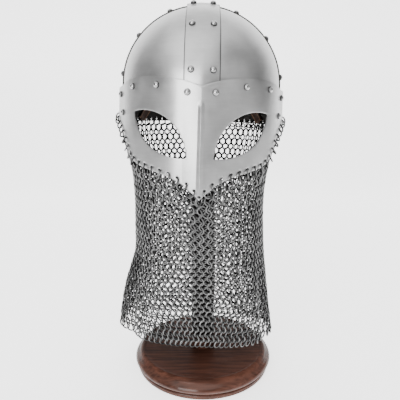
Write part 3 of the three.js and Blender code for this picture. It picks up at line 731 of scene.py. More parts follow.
def skull_plate(name, side_x, side_y):
    """A level up to 1 is a share of the wall's height. Past 1 it counts degrees up the dome."""

    def place(angle, level, side):
        out = (side - 1) * PLATE_WALL
        turn = angle if side_y < 0 else 180 - angle
        low = rim_edge(turn) + 2 * HOLE_INSET * smooth(MASK_HOLE_END_TURN, BROW_RAISE_END_TURN, turn)
        height = low + (WALL_HEIGHT - low) * np.minimum(level, 1)
        lift = np.radians(np.maximum(level - 1, 0))
        below = (WALL_HEIGHT - height) / WALL_HEIGHT
        spread = out + RIM_FLARE * (1 - np.cos(np.pi * below / 2)) - SEAM_HALF_GAP
        x = SEAM_HALF_GAP + (SKULL_HALF_WIDTH + spread) * np.cos(lift) * np.sin(np.radians(angle))
        y = SEAM_HALF_GAP + (SKULL_HALF_DEPTH + spread) * np.cos(lift) * np.cos(np.radians(angle))
        z = height + (SKULL_RISE + out) * np.sin(lift)
        return to_world(np.stack([side_x * x, side_y * y, z], -1))

    levels = np.concatenate([np.linspace(0, 1, WALL_ROWS), 1 + np.linspace(0, 90, DOME_ROWS)[1:]])
    piece = grid_wall(name, np.linspace(0, 90, PLATE_COLUMNS), levels, place)
    finish_piece(piece, [plate_steel, inner_shade_steel], ["skull_" + name])


skull_plate("plate_front_left", -1, -1)
skull_plate("plate_front_right", 1, -1)
skull_plate("plate_back_left", -1, 1)
skull_plate("plate_back_right", 1, 1)

# %% [markdown]
# ## Bands
# Two bands hide the seams. The lateral band lies on the plates, and the crest climbs over it at the
# crown. Both run down under the brow band, so their feet never show.

# %% Bands over the seams
BAND_COLUMNS = 17
BAND_STATIONS = 121
FOOT_STATIONS = 5


def band_point(across, lift, foot, out, half_across, half_along):
    """A point of a band that runs over the dome in an upright plane, at a distance out from it."""
    side = np.where(lift < 90, -1, 1)
    spread = out + RIM_FLARE * (1 - np.cos(np.pi * (foot / WALL_HEIGHT) / 2))
    inset = np.sqrt(1 - (across / (half_across + spread)) ** 2)
    bend = np.radians(lift)
    wall = side * (half_along + spread) * inset
    dome = -(half_along + spread) * inset * np.cos(bend)
    along = np.where(foot > 0, wall, dome)
    height = np.where(foot > 0, WALL_HEIGHT - foot, WALL_HEIGHT + (SKULL_RISE + out) * inset * np.sin(bend))
    return np.stack([across, along, height], -1)


def crest_out(across, lift):
    """Distance of the crest's outer face from the dome. It climbs over the lateral band."""
    crossing = np.abs(SKULL_HALF_DEPTH * np.cos(np.radians(lift)))
    climb = OVERLAP_STEP * (1 - smooth(BAND_WIDTH / 2 + CLIMB_START, BAND_WIDTH / 2 + CLIMB_END, crossing))
    fade = 1 - smooth(0, CREASE_END_LIFT, lift)
    return SEAT_GAP + BAND_WALL + climb + crease(across, BROW_CREASE_RISE * fade)


def lateral_out(across, lift):
    """The lateral band lies straight on the plates."""
    return SEAT_GAP + BAND_WALL + 0 * across


# How far out a band lies, half the dome's size across and along it, and the order of its axes
CREST = (crest_out, SKULL_HALF_WIDTH, SKULL_HALF_DEPTH, [0, 1, 2])
LATERAL = (lateral_out, SKULL_HALF_DEPTH, SKULL_HALF_WIDTH, [1, 0, 2])


def over_band(name, start_foot, end_foot, out_of, half_across, half_along, order):
    """A band in one upright plane: a foot down the wall, an arch over the dome, and another foot."""
    feet = np.linspace(1, 0, FOOT_STATIONS)[:-1]
    lifts = np.linspace(0, 180, BAND_STATIONS)
    lift = np.concatenate([0 * feet, lifts, 180 + 0 * feet])
    foot = np.concatenate([start_foot * feet, 0 * lifts, end_foot * feet[::-1]])

    def place(across, station, side):
        index = station.astype(int)
        out = out_of(across, lift[index]) - (1 - side) * BAND_WALL
        points = band_point(across, lift[index], foot[index], out, half_across, half_along)
        return to_world(points[..., order])

    across = np.linspace(-BAND_WIDTH / 2, BAND_WIDTH / 2, BAND_COLUMNS)
    piece = grid_wall(name, across, np.arange(len(lift)), place)
    mark_across(piece, across / (BAND_WIDTH / 2), len(lift))
    soften(piece)
    finish_piece(piece, [over_band_steel, inner_shade_steel], [name + "_band"])


front_foot = WALL_HEIGHT - BROW_RAISE - FOOT_RISE
back_foot = WALL_HEIGHT - FOOT_RISE
ear_foot = WALL_HEIGHT - float(rim_edge(90)) - EAR_FOOT_RISE
over_band("lateral", ear_foot, ear_foot, *LATERAL)
over_band("crest", front_foot, back_foot, *CREST)

# %% [markdown]
# ## The row of holes
# One evenly spaced row of holes follows the mask's lower edge and then the rim at the back. The flat
# pattern uses the distance along the widest line of the dome, so a round hole stays round.

# %% Flat pattern and holes
PATTERN_SAMPLES = 5401
PATTERN_TURNS = np.linspace(-180, 360, PATTERN_SAMPLES)
PATTERN_STEPS = np.linalg.norm(np.diff(skull_point(PATTERN_TURNS, WALL_HEIGHT, 0), axis=0), axis=1)
PATTERN_ALONG = np.concatenate([[0], np.cumsum(PATTERN_STEPS)])
PATTERN_ALONG -= np.interp(0, PATTERN_TURNS, PATTERN_ALONG)
EDGE_SAMPLES = 721
HOLE_SIDES = 14


def along_of(turn):
    return np.interp(turn, PATTERN_TURNS, PATTERN_ALONG)


def turn_of(along):
    return np.interp(along, PATTERN_ALONG, PATTERN_TURNS)


def hole_places():
    """Distance along and height of each hole on one side, with the way in from the edge."""
    turns = np.linspace(0, 180, EDGE_SAMPLES)
    heights = np.where(turns < MASK_HOLE_END_TURN, mask_lower(turns), rim_edge(turns))
    edge = np.stack([along_of(turns), heights], -1)
    run = np.concatenate([[0], np.cumsum(np.linalg.norm(np.diff(edge, axis=0), axis=1))])
    count = round(run[-1] / HOLE_PITCH)
    places = []
    for target in run[-1] * np.arange(count + 1) / count:
        spot = np.array([np.interp(target, run, edge[:, 0]), np.interp(target, run, edge[:, 1])])
        ahead = np.array([np.interp(target + 1, run, edge[:, 0]), np.interp(target + 1, run, edge[:, 1])])
        behind = np.array([np.interp(target - 1, run, edge[:, 0]), np.interp(target - 1, run, edge[:, 1])])
        tangent = (ahead - behind) / np.linalg.norm(ahead - behind)
        if target in (0, run[-1]):
            tangent = np.array([1.0, 0.0])
        inward = np.array([-tangent[1], tangent[0]])
        places.append((spot + HOLE_INSET * inward, inward))
    return places


def hole_outline(centre):
    angles = 2 * math.pi * np.arange(HOLE_SIDES) / HOLE_SIDES
    return np.array(centre) + HOLE_RADIUS * np.stack([np.cos(angles), np.sin(angles)], -1)


HOLES = hole_places()
print("holes on one side:", len(HOLES))

# %% [markdown]
# ## Brow band and mask
# The brow band goes all round and carries the mail at the back. The mask lies over its front half. A
# crease stiffens the nasal and a narrow rib runs down its middle.

# %% Brow band
BROW_SPACING = 2.5
SAME_HOLE = 1.0


def between(first, second, spacing):
    """Points from one corner up to, but not including, the next."""
    count = max(1, round(float(np.linalg.norm(np.subtract(second, first))) / spacing))
    shares = np.arange(count)[:, None] / count
    return np.array(first) + shares * np.subtract(second, first)


def brow_band():
    full = along_of(360)
    along = np.linspace(0, full, round(full / BROW_SPACING) + 1)
    low = rim_edge(turn_of(along))
    lower = np.stack([along, low], -1)
    upper = np.stack([along, np.full_like(along, BROW_TOP)], -1)[::-1]
    right = between(lower[-1], upper[0], BROW_SPACING)
    left = between(upper[-1], lower[0], BROW_SPACING)
    outline = np.concatenate([lower[:-1], right, upper[:-1], left])
    centres = []
    for centre, _ in HOLES:
        if turn_of(centre[0]) > MASK_HOLE_END_TURN:
            for twin in (centre, np.array([full - centre[0], centre[1]])):
                if all(np.linalg.norm(twin - other) > SAME_HOLE for other in centres):
                    centres.append(twin)

    def place(along, height, side):
        turn = wrapped(turn_of(along))
        fold = np.where(np.abs(turn) < 90, crease(across_of(turn), BROW_CREASE_RISE), 0)
        out = BROW_INNER + side * BROW_WALL + band_step(turn) + fold
        return to_world(skull_point(turn, height, out))

    holes = [hole_outline(centre) for centre in centres]
    piece = cut_sheet("brow", outline, holes, BROW_SPACING, place, ring=True)
    soften(piece)
    finish_piece(piece, [band_steel, inner_shade_steel], ["brow_band"])


brow_band()

# %% Mask
MASK_SPACING = 2.0
MASK_EDGE_SPACING = 1.6
EYE_CURVE_POINTS = 44
FOLD_SOFTNESS = 0.7


def mask_relief(turn, height):
    """Rise of the crease and of the nasal's rib over the plain surface."""
    depth = smooth(WALL_HEIGHT - NASAL_DROP, WALL_HEIGHT, height)
    rise = NASAL_CREASE_RISE + (BROW_CREASE_RISE - NASAL_CREASE_RISE) * depth
    rib_share = np.maximum(0, 1 - np.abs(across_of(turn)) / RIB_HALF_WIDTH)
    rib_start = WALL_HEIGHT - RIB_TOP_DROP
    rib_fade = 1 - smooth(rib_start - RIB_FADE, rib_start + RIB_FADE, height)
    return crease(across_of(turn), rise) + RIB_RISE * rib_share * rib_fade


def mask_point(turn, height, side):
    """A point of the mask before the helmet leans, side 0 inside and 1 outside."""
    out = MASK_INNER + side * MASK_WALL + band_step(turn) + mask_relief(turn, height)
    return skull_point(turn, height, out)


def bezier(curve_table, count):
    """Points of a cubic curve as (turn, height), without its last point."""
    t = (np.arange(count) / count)[:, None]
    turns = np.array(curve_table["turn"], float)
    heights = WALL_HEIGHT - NASAL_DROP * np.array(curve_table["drop"], float)
    a, b, c, d = np.stack([turns, heights], -1)
    return (1 - t) ** 3 * a + 3 * (1 - t) ** 2 * t * b + 3 * (1 - t) * t**2 * c + t**3 * d


def eye_outline(mirror):
    curves = [bezier(table, EYE_CURVE_POINTS) for table in (EYE_UPPER_CURVE, EYE_LOWER_CURVE)]
    turned = np.concatenate(curves)
    return np.stack([mirror * along_of(turned[:, 0]), turned[:, 1]], -1)


def mask():
    end = along_of(MASK_END_TURN)
    along = np.linspace(-end, end, round(2 * end / MASK_EDGE_SPACING) // 2 * 2 + 1)
    turns = turn_of(along)
    lower = np.stack([along, mask_lower(turns)], -1)
    upper = np.stack([along, mask_upper(turns)], -1)[::-1]
    right = between(lower[-1], upper[0], MASK_SPACING)
    left = between(upper[-1], lower[0], MASK_SPACING)
    outline = np.concatenate([lower[:-1], right, upper[:-1], left])
    holes = []
    for centre, _ in HOLES:
        if turn_of(centre[0]) < MASK_HOLE_END_TURN:
            holes.append(hole_outline(centre))
            if centre[0] > SAME_HOLE:
                holes.append(hole_outline(centre * [-1, 1]))

    def place(along, height, side):
        return to_world(mask_point(turn_of(along), height, side))

    lines = [0, RIB_HALF_WIDTH, CREASE_REACH]
    shifts = [-FOLD_SOFTNESS, 0, FOLD_SOFTNESS]
    folds = sorted({side * (line + shift) for line in lines for shift in shifts for side in (-1, 1)})
    openings = [eye_outline(1), eye_outline(-1), *holes]
    piece = cut_sheet("mask_plate", outline, openings, MASK_SPACING, place, folds=folds)
    soften(piece)
    finish_piece(piece, [plate_steel, inner_shade_steel], ["mask"])


mask()

# %% [markdown]
# ## Repeated pieces
# Rivets and mail rings are many copies of one small shape. Geometry Nodes puts the shape on a list of
# points that carry a turn and a tone, and the copies are then made real and given their material. The
# result is kept as a plain mesh, so no modifier is left.

# %% Geometry Nodes helper


def point_cloud(name, spots, axes_x, axes_y, tones):
    """Loose points with a rotation and a tone. The axes are each copy's own X and Y directions."""
    axes_z = np.cross(axes_x, axes_y)
    turns = np.stack([
        np.arctan2(axes_y[:, 2], axes_z[:, 2]),
        np.arcsin(np.clip(-axes_x[:, 2], -1, 1)),
        np.arctan2(axes_x[:, 1], axes_x[:, 0]),
    ], -1)
    mesh = bpy.data.meshes.new(name)
    mesh.from_pydata((np.asarray(spots) * MILLIMETRE).tolist(), [], [])
    turn = mesh.attributes.new("turn", "FLOAT_VECTOR", "POINT")
    turn.data.foreach_set("vector", turns.astype(np.float32).ravel())
    tone = mesh.attributes.new("tone", "FLOAT", "POINT")
    tone.data.foreach_set("value", np.asarray(tones, np.float32))
    made = bpy.data.objects.new(name, mesh)
    bpy.context.scene.collection.objects.link(made)
    return made


def new_group(name, inputs):
    """A node group that takes points and the named inputs and gives one geometry."""
    group = bpy.data.node_groups.new(name, "GeometryNodeTree")
    group.interface.new_socket("Points", in_out="INPUT", socket_type="NodeSocketGeometry")
    for label, kind in inputs:
        group.interface.new_socket(label, in_out="INPUT", socket_type=kind)
    group.interface.new_socket("Geometry", in_out="OUTPUT", socket_type="NodeSocketGeometry")
    return group, group.nodes.new("NodeGroupInput"), group.nodes.new("NodeGroupOutput")


def place_copies(group, start, end, shape_socket):
    """Puts the shape on every point, turned by its attribute, and makes the copies real. The attribute
    "face" tells how far a spot faces away from the upright axis."""
    turn = add_node(group, "GeometryNodeInputNamedAttribute", {"data_type": "FLOAT_VECTOR"}, Name="turn")
    rotation = add_node(group, "FunctionNodeEulerToRotation", Euler=turn.outputs[0])
    copies = add_node(
        group, "GeometryNodeInstanceOnPoints",
        Points=start.outputs["Points"], Instance=shape_socket, Rotation=rotation.outputs[0],
    )
    real = add_node(group, "GeometryNodeRealizeInstances", Geometry=copies.outputs["Instances"])
    spot = add_node(group, "GeometryNodeInputPosition").outputs["Position"]
    normal = add_node(group, "GeometryNodeInputNormal").outputs["Normal"]
    level = add_node(group, "ShaderNodeVectorMath", {"operation": "MULTIPLY"}, [spot, (1, 1, 0)])
    away = add_node(group, "ShaderNodeVectorMath", {"operation": "NORMALIZE"}, [level.outputs["Vector"]])
    facing_out = add_node(
        group, "ShaderNodeVectorMath", {"operation": "DOT_PRODUCT"}, [away.outputs["Vector"], normal]
    )
    mark = add_node(
        group, "GeometryNodeStoreNamedAttribute",
        Geometry=real.outputs["Geometry"], Name="face", Value=facing_out.outputs["Value"],
    )
    coat = add_node(
        group, "GeometryNodeSetMaterial",
        Geometry=mark.outputs["Geometry"], Material=start.outputs["Material"],
    )
    feed(group, end.inputs["Geometry"], coat.outputs["Geometry"])


def run_group(piece, group, settings):
    """Runs a node group on a piece with named settings and keeps the mesh that it makes."""
    modifier = piece.modifiers.new(group.name, "NODES")
    modifier.node_group = group
    for item in group.interface.items_tree:
        if item.item_type == "SOCKET" and item.in_out == "INPUT" and item.name in settings:
            modifier[item.identifier] = settings[item.name]
    bake(piece)


# %% [markdown]
# ## Rivets
# A rivet head is a flattened ball sunk to its middle in the metal. Pairs run along the bands, and
# single rivets hold the mask and the brow band.

# %% Rivets
RIVET_SIDES = 24
RIVET_ROWS = 14
NEARLY_UPRIGHT = 0.9


def rivet_group():
    """Flattened balls, with their height over the plate stored as a share of the rise."""
    inputs = [("Radius", "NodeSocketFloat"), ("Rise", "NodeSocketFloat"), ("Material", "NodeSocketMaterial")]
    group, start, end = new_group("rivet_heads", inputs)
    radius = start.outputs["Radius"]
    size = add_node(group, "ShaderNodeCombineXYZ", X=radius, Y=radius, Z=start.outputs["Rise"])
    ball = add_node(group, "GeometryNodeMeshUVSphere", Segments=RIVET_SIDES, Rings=RIVET_ROWS, Radius=1)
    spot = add_node(group, "GeometryNodeInputPosition")
    parts = add_node(group, "ShaderNodeSeparateXYZ", Vector=spot.outputs["Position"])
    mark = add_node(
        group, "GeometryNodeStoreNamedAttribute",
        Geometry=ball.outputs["Mesh"], Name="lift", Value=parts.outputs["Z"],
    )
    flat = add_node(
        group, "GeometryNodeTransform", Geometry=mark.outputs["Geometry"], Scale=size.outputs["Vector"]
    )
    place_copies(group, start, end, flat.outputs["Geometry"])
    return group


def facing(normals):
    """Two axes across each normal, so that a copy's Z points along it."""
    helper = np.where(np.abs(normals[:, 2:3]) < NEARLY_UPRIGHT, [[0.0, 0.0, 1.0]], [[1.0, 0.0, 0.0]])
    axes_x = unit(np.cross(helper, normals))
    return axes_x, np.cross(normals, axes_x)


def band_rivets(prefix, lifts, out_of, half_across, half_along, order):
    """Spots, normals and CAD names of the rivet pairs along one band."""
    spots, normals, names = [], [], []
    for row, lift in enumerate(lifts):
        for end, bend in (("a", lift), ("b", 180 - lift)):
            for edge, side in (("1", -1), ("2", 1)):
                across = np.array(side * RIVET_PAIR_SPREAD / 2)
                spot = band_point(across, np.array(float(bend)), np.array(0.0),
                                  out_of(across, bend), half_across, half_along)
                normal = (spot - [0, 0, WALL_HEIGHT]) / np.square([half_across, half_along, SKULL_RISE])
                spots.append(spot[order])
                normals.append(unit(normal[order]))
                names.append(f"{prefix}_rivet_{end}{row + 1}_{edge}")
    return spots, normals, names


def single_rivets():
    """Spots, normals and CAD names of the rivets on the mask and round the back."""
    spots, normals, names = [], [], []
    for name, turn, rise in zip(MASK_RIVETS["name"], MASK_RIVETS["turn"], MASK_RIVETS["rise"]):
        for side, mirror in (("left", -1), ("right", 1)):
            spots.append(mask_point(mirror * turn, rise * MASK_RISE, 1))
            normals.append(outward(mirror * turn, rise * MASK_RISE, MASK_INNER))
            names.append(f"{name}_rivet_{side}")
    for index, turn in enumerate(BACK_RIVET_TURNS):
        for side, mirror in (("left", -1), ("right", 1)):
            height = BACK_RIVET_RISE * MASK_RISE
            out = BROW_INNER + BROW_WALL + band_step(turn)
            spots.append(skull_point(mirror * turn, height, out))
            normals.append(outward(mirror * turn, height, BROW_INNER))
            names.append(f"back_rivet_{index + 1}_{side}")
    return spots, normals, names


def rivets():
    groups = [
        band_rivets("crest", CREST_PAIR_LIFTS, *CREST),
        band_rivets("lateral", LATERAL_PAIR_LIFTS, *LATERAL),
        single_rivets(),
    ]
    spots = np.array([spot for group in groups for spot in group[0]])
    normals = np.array([normal for group in groups for normal in group[1]])
    names = [name for group in groups for name in group[2]]
    leaned = to_world(spots + normals) - to_world(spots)
    axes_x, axes_y = facing(leaned)
    piece = point_cloud("rivets", to_world(spots), axes_x, axes_y, np.ones(len(spots)))
    settings = {"Radius": RIVET_RADIUS * MILLIMETRE, "Rise": RIVET_RISE * MILLIMETRE, "Material": rivet_steel}
    run_group(piece, rivet_group(), settings)
    finish_piece(piece, [rivet_steel], names)


rivets()

# %% [markdown]
# ## The mail's surface
# The curtain's middle surface leaves the rim on the dome's outline and then follows a table of
# sections, a little lopsided and with a few folds towards the hem. A level runs from 0 at the height
# of the back rim to 1 at the hem.

# %% The hanging surface
MAIL_TOP_OUT = BROW_INNER + BROW_WALL - MAIL_WALL / 2


def mail_top(turn):
    """Height of the curtain's top, behind the mask's holes in front and just under the rim elsewhere."""
    nearby = [rim_edge(turn - MAIL_TOP_SPREAD), rim_edge(turn), rim_edge(turn + MAIL_TOP_SPREAD)]
    under_rim = np.min(nearby, axis=0) - SEAT_GAP
    behind_mask = mask_lower(turn) + HOLE_INSET
    return np.where(np.abs(turn) > MASK_END_TURN, under_rim, np.minimum(behind_mask, under_rim))


def mail_point(turn, level):
    """A point of the curtain's middle surface."""
    turn = wrapped(turn)
    top = to_world(skull_point(turn, mail_top(turn), MAIL_TOP_OUT))
    sine = np.sin(np.radians(turn))
    cosine = np.cos(np.radians(turn))
    hem = HEM_HEIGHT - HEM_TILT * sine - HEM_BACK_DROP * smooth(0, HEM_BACK_DROP_FULL, -cosine)
    height = RIM_HEIGHT - level * (RIM_HEIGHT - hem)
    share = (top[..., 2] - height) / (top[..., 2] - hem)
    left, right, front, back, squareness = (
        curve(MAIL_SECTIONS, "level", key, level) for key in ("left", "right", "front", "back", "round")
    )
    sideways = SKULL_HALF_WIDTH * np.where(sine < 0, left, right)
    lengthways = SKULL_HALF_DEPTH * np.where(cosine < 0, back, front)
    folds = np.zeros_like(turn)
    for fold_turn, spread, depth in zip(MAIL_FOLDS["turn"], MAIL_FOLDS["spread"], MAIL_FOLDS["depth"]):
        folds = folds + depth * np.exp(-((wrapped(turn - fold_turn) / spread) ** 2))
    reach = 1 + folds * FOLD_DEPTH * smooth(FOLD_START, 1, level) / SKULL_HALF_WIDTH
    x = sideways * np.sign(sine) * np.abs(sine) ** squareness * reach
    y = -lengthways * np.sign(cosine) * np.abs(cosine) ** squareness * reach
    leave = smooth(0, LEAVING_SHARE, share)
    x = top[..., 0] + (x - top[..., 0]) * leave
    y = top[..., 1] + (y - top[..., 1]) * leave
    return np.stack([x, y, height], -1)


# %% [markdown]
# ## Rings
# Each ring passes through two rings of the row above and two of the row below. Rows turn their rings
# to opposite sides of the vertical, and every other row is shifted by half a ring, which is what links
# them. Where the curtain is drawn in, rings close up and turn further. In the middle of the front, rows
# lie closer together high up and further apart near the hem, where the rings close up sideways instead.
# Three pieces of some rows each keep the meshes small.

# %% Rings of the curtain
RING_RADIUS = 5.2
WIRE_RADIUS = 0.95
RING_SIDES = 14
WIRE_SIDES = 6
COLUMNS = 67
ROWS = 44
SIDE_ROW_PITCH = {"level": [0.2, 1], "pitch": [6.7, 6.9]}
FRONT_ROW_PITCH = {"level": [0.3, 0.65, 0.95], "pitch": [4.7, 6.2, 8.0]}
FRONT_ROW_SPREAD = 20.0
OPEN_PITCH = 9.4
CLOSED_PITCH = 6.4
OPEN_TILT = 20.0
CLOSED_TILT = 38.0
FRONT_WIDENING_TOP = 0.08
FRONT_WIDENING_HEM = -0.4
WIDENING_SPREAD = 45.0
WIDENING_CHANGE_START = 0.66
EDGE_CLEARANCE = 3.4
TURN_STEP = 0.6
LEVEL_STEP = 0.004
TILT_SPREAD = 1.2
SWAY_SPREAD = 2.0
PLACE_SPREAD = 0.1
MAIL_PARTS = {
    "name": ["mail_lower", "mail_middle", "mail_upper"],
    "first_row": [0, 13, 26],
    "end_row": [13, 26, ROWS],
}
ROW_SAMPLES = 1441
MAIL_SEED = 11
random = np.random.default_rng(MAIL_SEED)


def row_levels(pitches):
    """Levels of the rows from the hem up."""
    levels = [1 - RING_RADIUS / (RIM_HEIGHT - HEM_HEIGHT)]
    while len(levels) < ROWS:
        pitch = float(curve(pitches, "level", "pitch", levels[-1]))
        levels.append(levels[-1] - pitch / (RIM_HEIGHT - HEM_HEIGHT))
    return levels


SIDE_LEVELS = row_levels(SIDE_ROW_PITCH)
FRONT_LEVELS = row_levels(FRONT_ROW_PITCH)


def row_level(index, turn):
    """A row's level at a turn. The middle of the front has its own spacing of rows."""
    front = np.exp(-((wrapped(turn) / FRONT_ROW_SPREAD) ** 2))
    return SIDE_LEVELS[index] + (FRONT_LEVELS[index] - SIDE_LEVELS[index]) * front


def plate_edge(turn):
    """World height of the metal edge that the curtain hangs from."""
    height = np.where(np.abs(turn) < MASK_HOLE_END_TURN, mask_lower(turn), rim_edge(turn))
    return to_world(skull_point(turn, height, MAIL_TOP_OUT))[..., 2]


def ring_row(index):
    """Centres and ring directions of one row's rings."""
    turns = np.linspace(0, 360, ROW_SAMPLES)
    line = mail_point(turns, row_level(index, turns))
    change = smooth(WIDENING_CHANGE_START, 1, SIDE_LEVELS[index])
    widening = FRONT_WIDENING_TOP + (FRONT_WIDENING_HEM - FRONT_WIDENING_TOP) * change
    middles = wrapped((turns[1:] + turns[:-1]) / 2)
    lengths = np.linalg.norm(np.diff(line, axis=0), axis=1)
    weights = lengths / (1 + widening * np.exp(-((middles / WIDENING_SPREAD) ** 2)))
    run = np.concatenate([[0], np.cumsum(weights)])
    targets = run[-1] * (np.arange(COLUMNS) + 0.5 * (index % 2)) / COLUMNS
    turn = np.interp(targets, run, turns)
    level = row_level(index, turn)
    centre = mail_point(turn, level)
    after = mail_point(turn + TURN_STEP, row_level(index, turn + TURN_STEP))
    before = mail_point(turn - TURN_STEP, row_level(index, turn - TURN_STEP))
    along = unit(after - before)
    down = mail_point(turn, level + LEVEL_STEP) - mail_point(turn, level - LEVEL_STEP)
    down = unit(down - np.sum(down * along, -1, keepdims=True) * along)
    out = np.cross(along, -down)
    pitch = np.linalg.norm(np.roll(centre, -1, 0) - centre, axis=1)
    closing = np.clip((OPEN_PITCH - pitch) / (OPEN_PITCH - CLOSED_PITCH), 0, 1)
    tilt = OPEN_TILT + (CLOSED_TILT - OPEN_TILT) * closing + random.normal(0, TILT_SPREAD, COLUMNS)
    tilt = np.radians(tilt * (1 if index % 2 else -1))[:, None]
    sway = np.radians(random.normal(0, SWAY_SPREAD, COLUMNS))[:, None]
    across = np.cos(tilt) * along + np.sin(tilt) * out
    down = unit(down + np.tan(sway) * out)
    down = unit(down - np.sum(down * across, -1, keepdims=True) * across)
    centre = centre + random.normal(0, PLACE_SPREAD, (COLUMNS, 3))
    kept = centre[:, 2] < plate_edge(wrapped(turn)) - EDGE_CLEARANCE
    return centre[kept], across[kept], down[kept]


def ring_group():
    """A round wire swept along a circle, with its sizes as inputs."""
    inputs = [
        ("Radius", "NodeSocketFloat"),
        ("Wire", "NodeSocketFloat"),
        ("Sides", "NodeSocketInt"),
        ("Wire Sides", "NodeSocketInt"),
        ("Material", "NodeSocketMaterial"),
    ]
    group, start, end = new_group("mail_rings", inputs)
    loop = add_node(
        group, "GeometryNodeCurvePrimitiveCircle",
        Radius=start.outputs["Radius"], Resolution=start.outputs["Sides"],
    )
    wire = add_node(
        group, "GeometryNodeCurvePrimitiveCircle",
        Radius=start.outputs["Wire"], Resolution=start.outputs["Wire Sides"],
    )
    sweep = add_node(
        group, "GeometryNodeCurveToMesh", Curve=loop.outputs["Curve"], Profile_Curve=wire.outputs["Curve"]
    )
    place_copies(group, start, end, sweep.outputs["Mesh"])
    return group


def ring_piece(name, group, centres, axes_x, axes_y):
    """One mesh of many rings, each with its own random tone."""
    piece = point_cloud(name, centres, axes_x, axes_y, random.random(len(centres)))
    settings = {
        "Radius": RING_RADIUS * MILLIMETRE,
        "Wire": WIRE_RADIUS * MILLIMETRE,
        "Sides": RING_SIDES,
        "Wire Sides": WIRE_SIDES,
        "Material": mail_steel,
    }
    run_group(piece, group, settings)
    finish_piece(piece, [mail_steel], ["mail_curtain"])
    print(name, "rings:", len(centres))


def curtain(group):
    rows = [ring_row(index) for index in range(ROWS)]
    for name, first, end in zip(*MAIL_PARTS.values()):
        centres, axes_x, axes_y = (np.concatenate(part) for part in zip(*rows[first:end]))
        ring_piece(name, group, centres, axes_x, axes_y)


ring_nodes = ring_group()
curtain(ring_nodes)

# %% [markdown]
# ## Rings through the plate
# A last row of rings passes through the holes and round the edge of the metal. Each is turned aside a
# little, so that from the front it shows as a slanted loop over the edge.

# %% Edge rings
EDGE_RING_SLANT = 38.0
EDGE_SLANT_SPREAD = 6.0
MIDDLE_LINE = 0.1


def edge_rings(group):
    """One ring for each hole. A hole on the middle line has no twin on the other side."""
    spots, axes_x, axes_y = [], [], []
    for centre, inward in HOLES:
        for mirror in (1, -1):
            turn = float(turn_of(centre[0]))
            if mirror < 0 and min(turn, 180 - turn) < MIDDLE_LINE:
                continue
            on_mask = turn < MASK_HOLE_END_TURN
            out = (MASK_INNER if on_mask else BROW_INNER) + MASK_WALL / 2 + float(band_step(turn))
            ahead = centre + inward
            hole = to_world(skull_point(mirror * turn, centre[1], out))
            inner = to_world(skull_point(mirror * float(turn_of(ahead[0])), ahead[1], out))
            away = unit(hole - inner)
            lifted = to_world(skull_point(mirror * turn, centre[1], out + 1))
            normal = lifted - hole
            normal = unit(normal - np.dot(normal, away) * away)
            aside = np.cross(away, normal)
            slant = math.radians(EDGE_RING_SLANT + random.normal(0, EDGE_SLANT_SPREAD)) * mirror
            spots.append(hole + away * (RING_RADIUS - WIRE_RADIUS / 2))
            axes_x.append(math.cos(slant) * normal + math.sin(slant) * aside)
            axes_y.append(away)
    ring_piece("mail_edge", group, np.array(spots), np.array(axes_x), np.array(axes_y))


edge_rings(ring_nodes)

# %% [markdown]
# ## Liner straps
# Two leather straps lie slantwise inside the back of the dome. Only their lower ends show, through the
# eye openings. An attribute across each strap tells the material where the stitched lines run.

# %% Liner straps
STRAP_COLUMNS = 15
STRAP_ROWS = 17
STRAP_LOWEST = 1.0


def liner_strap(name, mirror):
    """A flat strap laid slantwise on the inner side of the dome."""
    low = np.array([STRAP_LOW["turn"], STRAP_LOW["rise"] * WALL_HEIGHT])
    high = np.array([STRAP_HIGH["turn"], STRAP_HIGH["rise"] * WALL_HEIGHT])
    per_degree = math.radians(1) * (SKULL_HALF_WIDTH + SKULL_HALF_DEPTH) / 2
    run = unit((high - low) * [per_degree, 1])

    def place(across, share, side):
        turn = low[0] + (high[0] - low[0]) * share + across * run[1] / per_degree
        height = low[1] + (high[1] - low[1]) * share - across * run[0]
        out = -PLATE_WALL - STRAP_GAP - (1 - side) * STRAP_WALL
        return to_world(skull_point(mirror * turn, np.maximum(height, STRAP_LOWEST), out))

    across = np.linspace(-STRAP_WIDTH / 2, STRAP_WIDTH / 2, STRAP_COLUMNS)
    shares = np.linspace(0, 1, STRAP_ROWS)
    piece = grid_wall(name, across, shares, place)
    mark_across(piece, across / (STRAP_WIDTH / 2), len(shares))
    finish_piece(piece, [leather], ["liner_" + name])


liner_strap("strap_left", -1)
liner_strap("strap_right", 1)

# %% [markdown]
# ## The stand
# Base, post and cap are turned on a lathe: a profile swept round the axis, with its corners rounded.

# %% Turned stand
LATHE_SIDES = 96
CORNER_SHARE = 0.42
CORNER_STEPS = (0, 0.33, 0.67, 1)
BASE_ROUNDING = 1.6
POST_ROUNDING = 0.8
CAP_ROUNDING = 1.0
CAP_ROWS = 12


def rounded(profile, cut):
    """The profile with each inner corner replaced by a short curve."""
    points = np.array(profile, float)
    made = [points[0]]
    for before, corner, after in zip(points, points[1:], points[2:]):
        start = corner + (before - corner) * min(CORNER_SHARE, cut / np.linalg.norm(before - corner))
        end = corner + (after - corner) * min(CORNER_SHARE, cut / np.linalg.norm(after - corner))
        for t in CORNER_STEPS:
            made.append((1 - t) ** 2 * start + 2 * (1 - t) * t * corner + t * t * end)
    made.append(points[-1])
    return np.array(made)


def turned(name, profile, cut):
    """A profile swept round the upright axis, as on a lathe."""
    rows = rounded(profile, cut)
    angles = 2 * math.pi * np.arange(LATHE_SIDES) / LATHE_SIDES
    circles = [np.stack([reach * np.cos(angles), reach * np.sin(angles), height + 0 * angles], -1)
               for reach, height in rows]
    faces = []
    for row in range(len(rows) - 1):
        low, high = row * LATHE_SIDES, (row + 1) * LATHE_SIDES
        for side in range(LATHE_SIDES):
            after = (side + 1) % LATHE_SIDES
            faces.append([low + side, low + after, high + after, high + side])
    piece = make_object("turned_" + name, np.concatenate(circles), faces)
    finish_piece(piece, [polished_wood], ["stand_" + name])


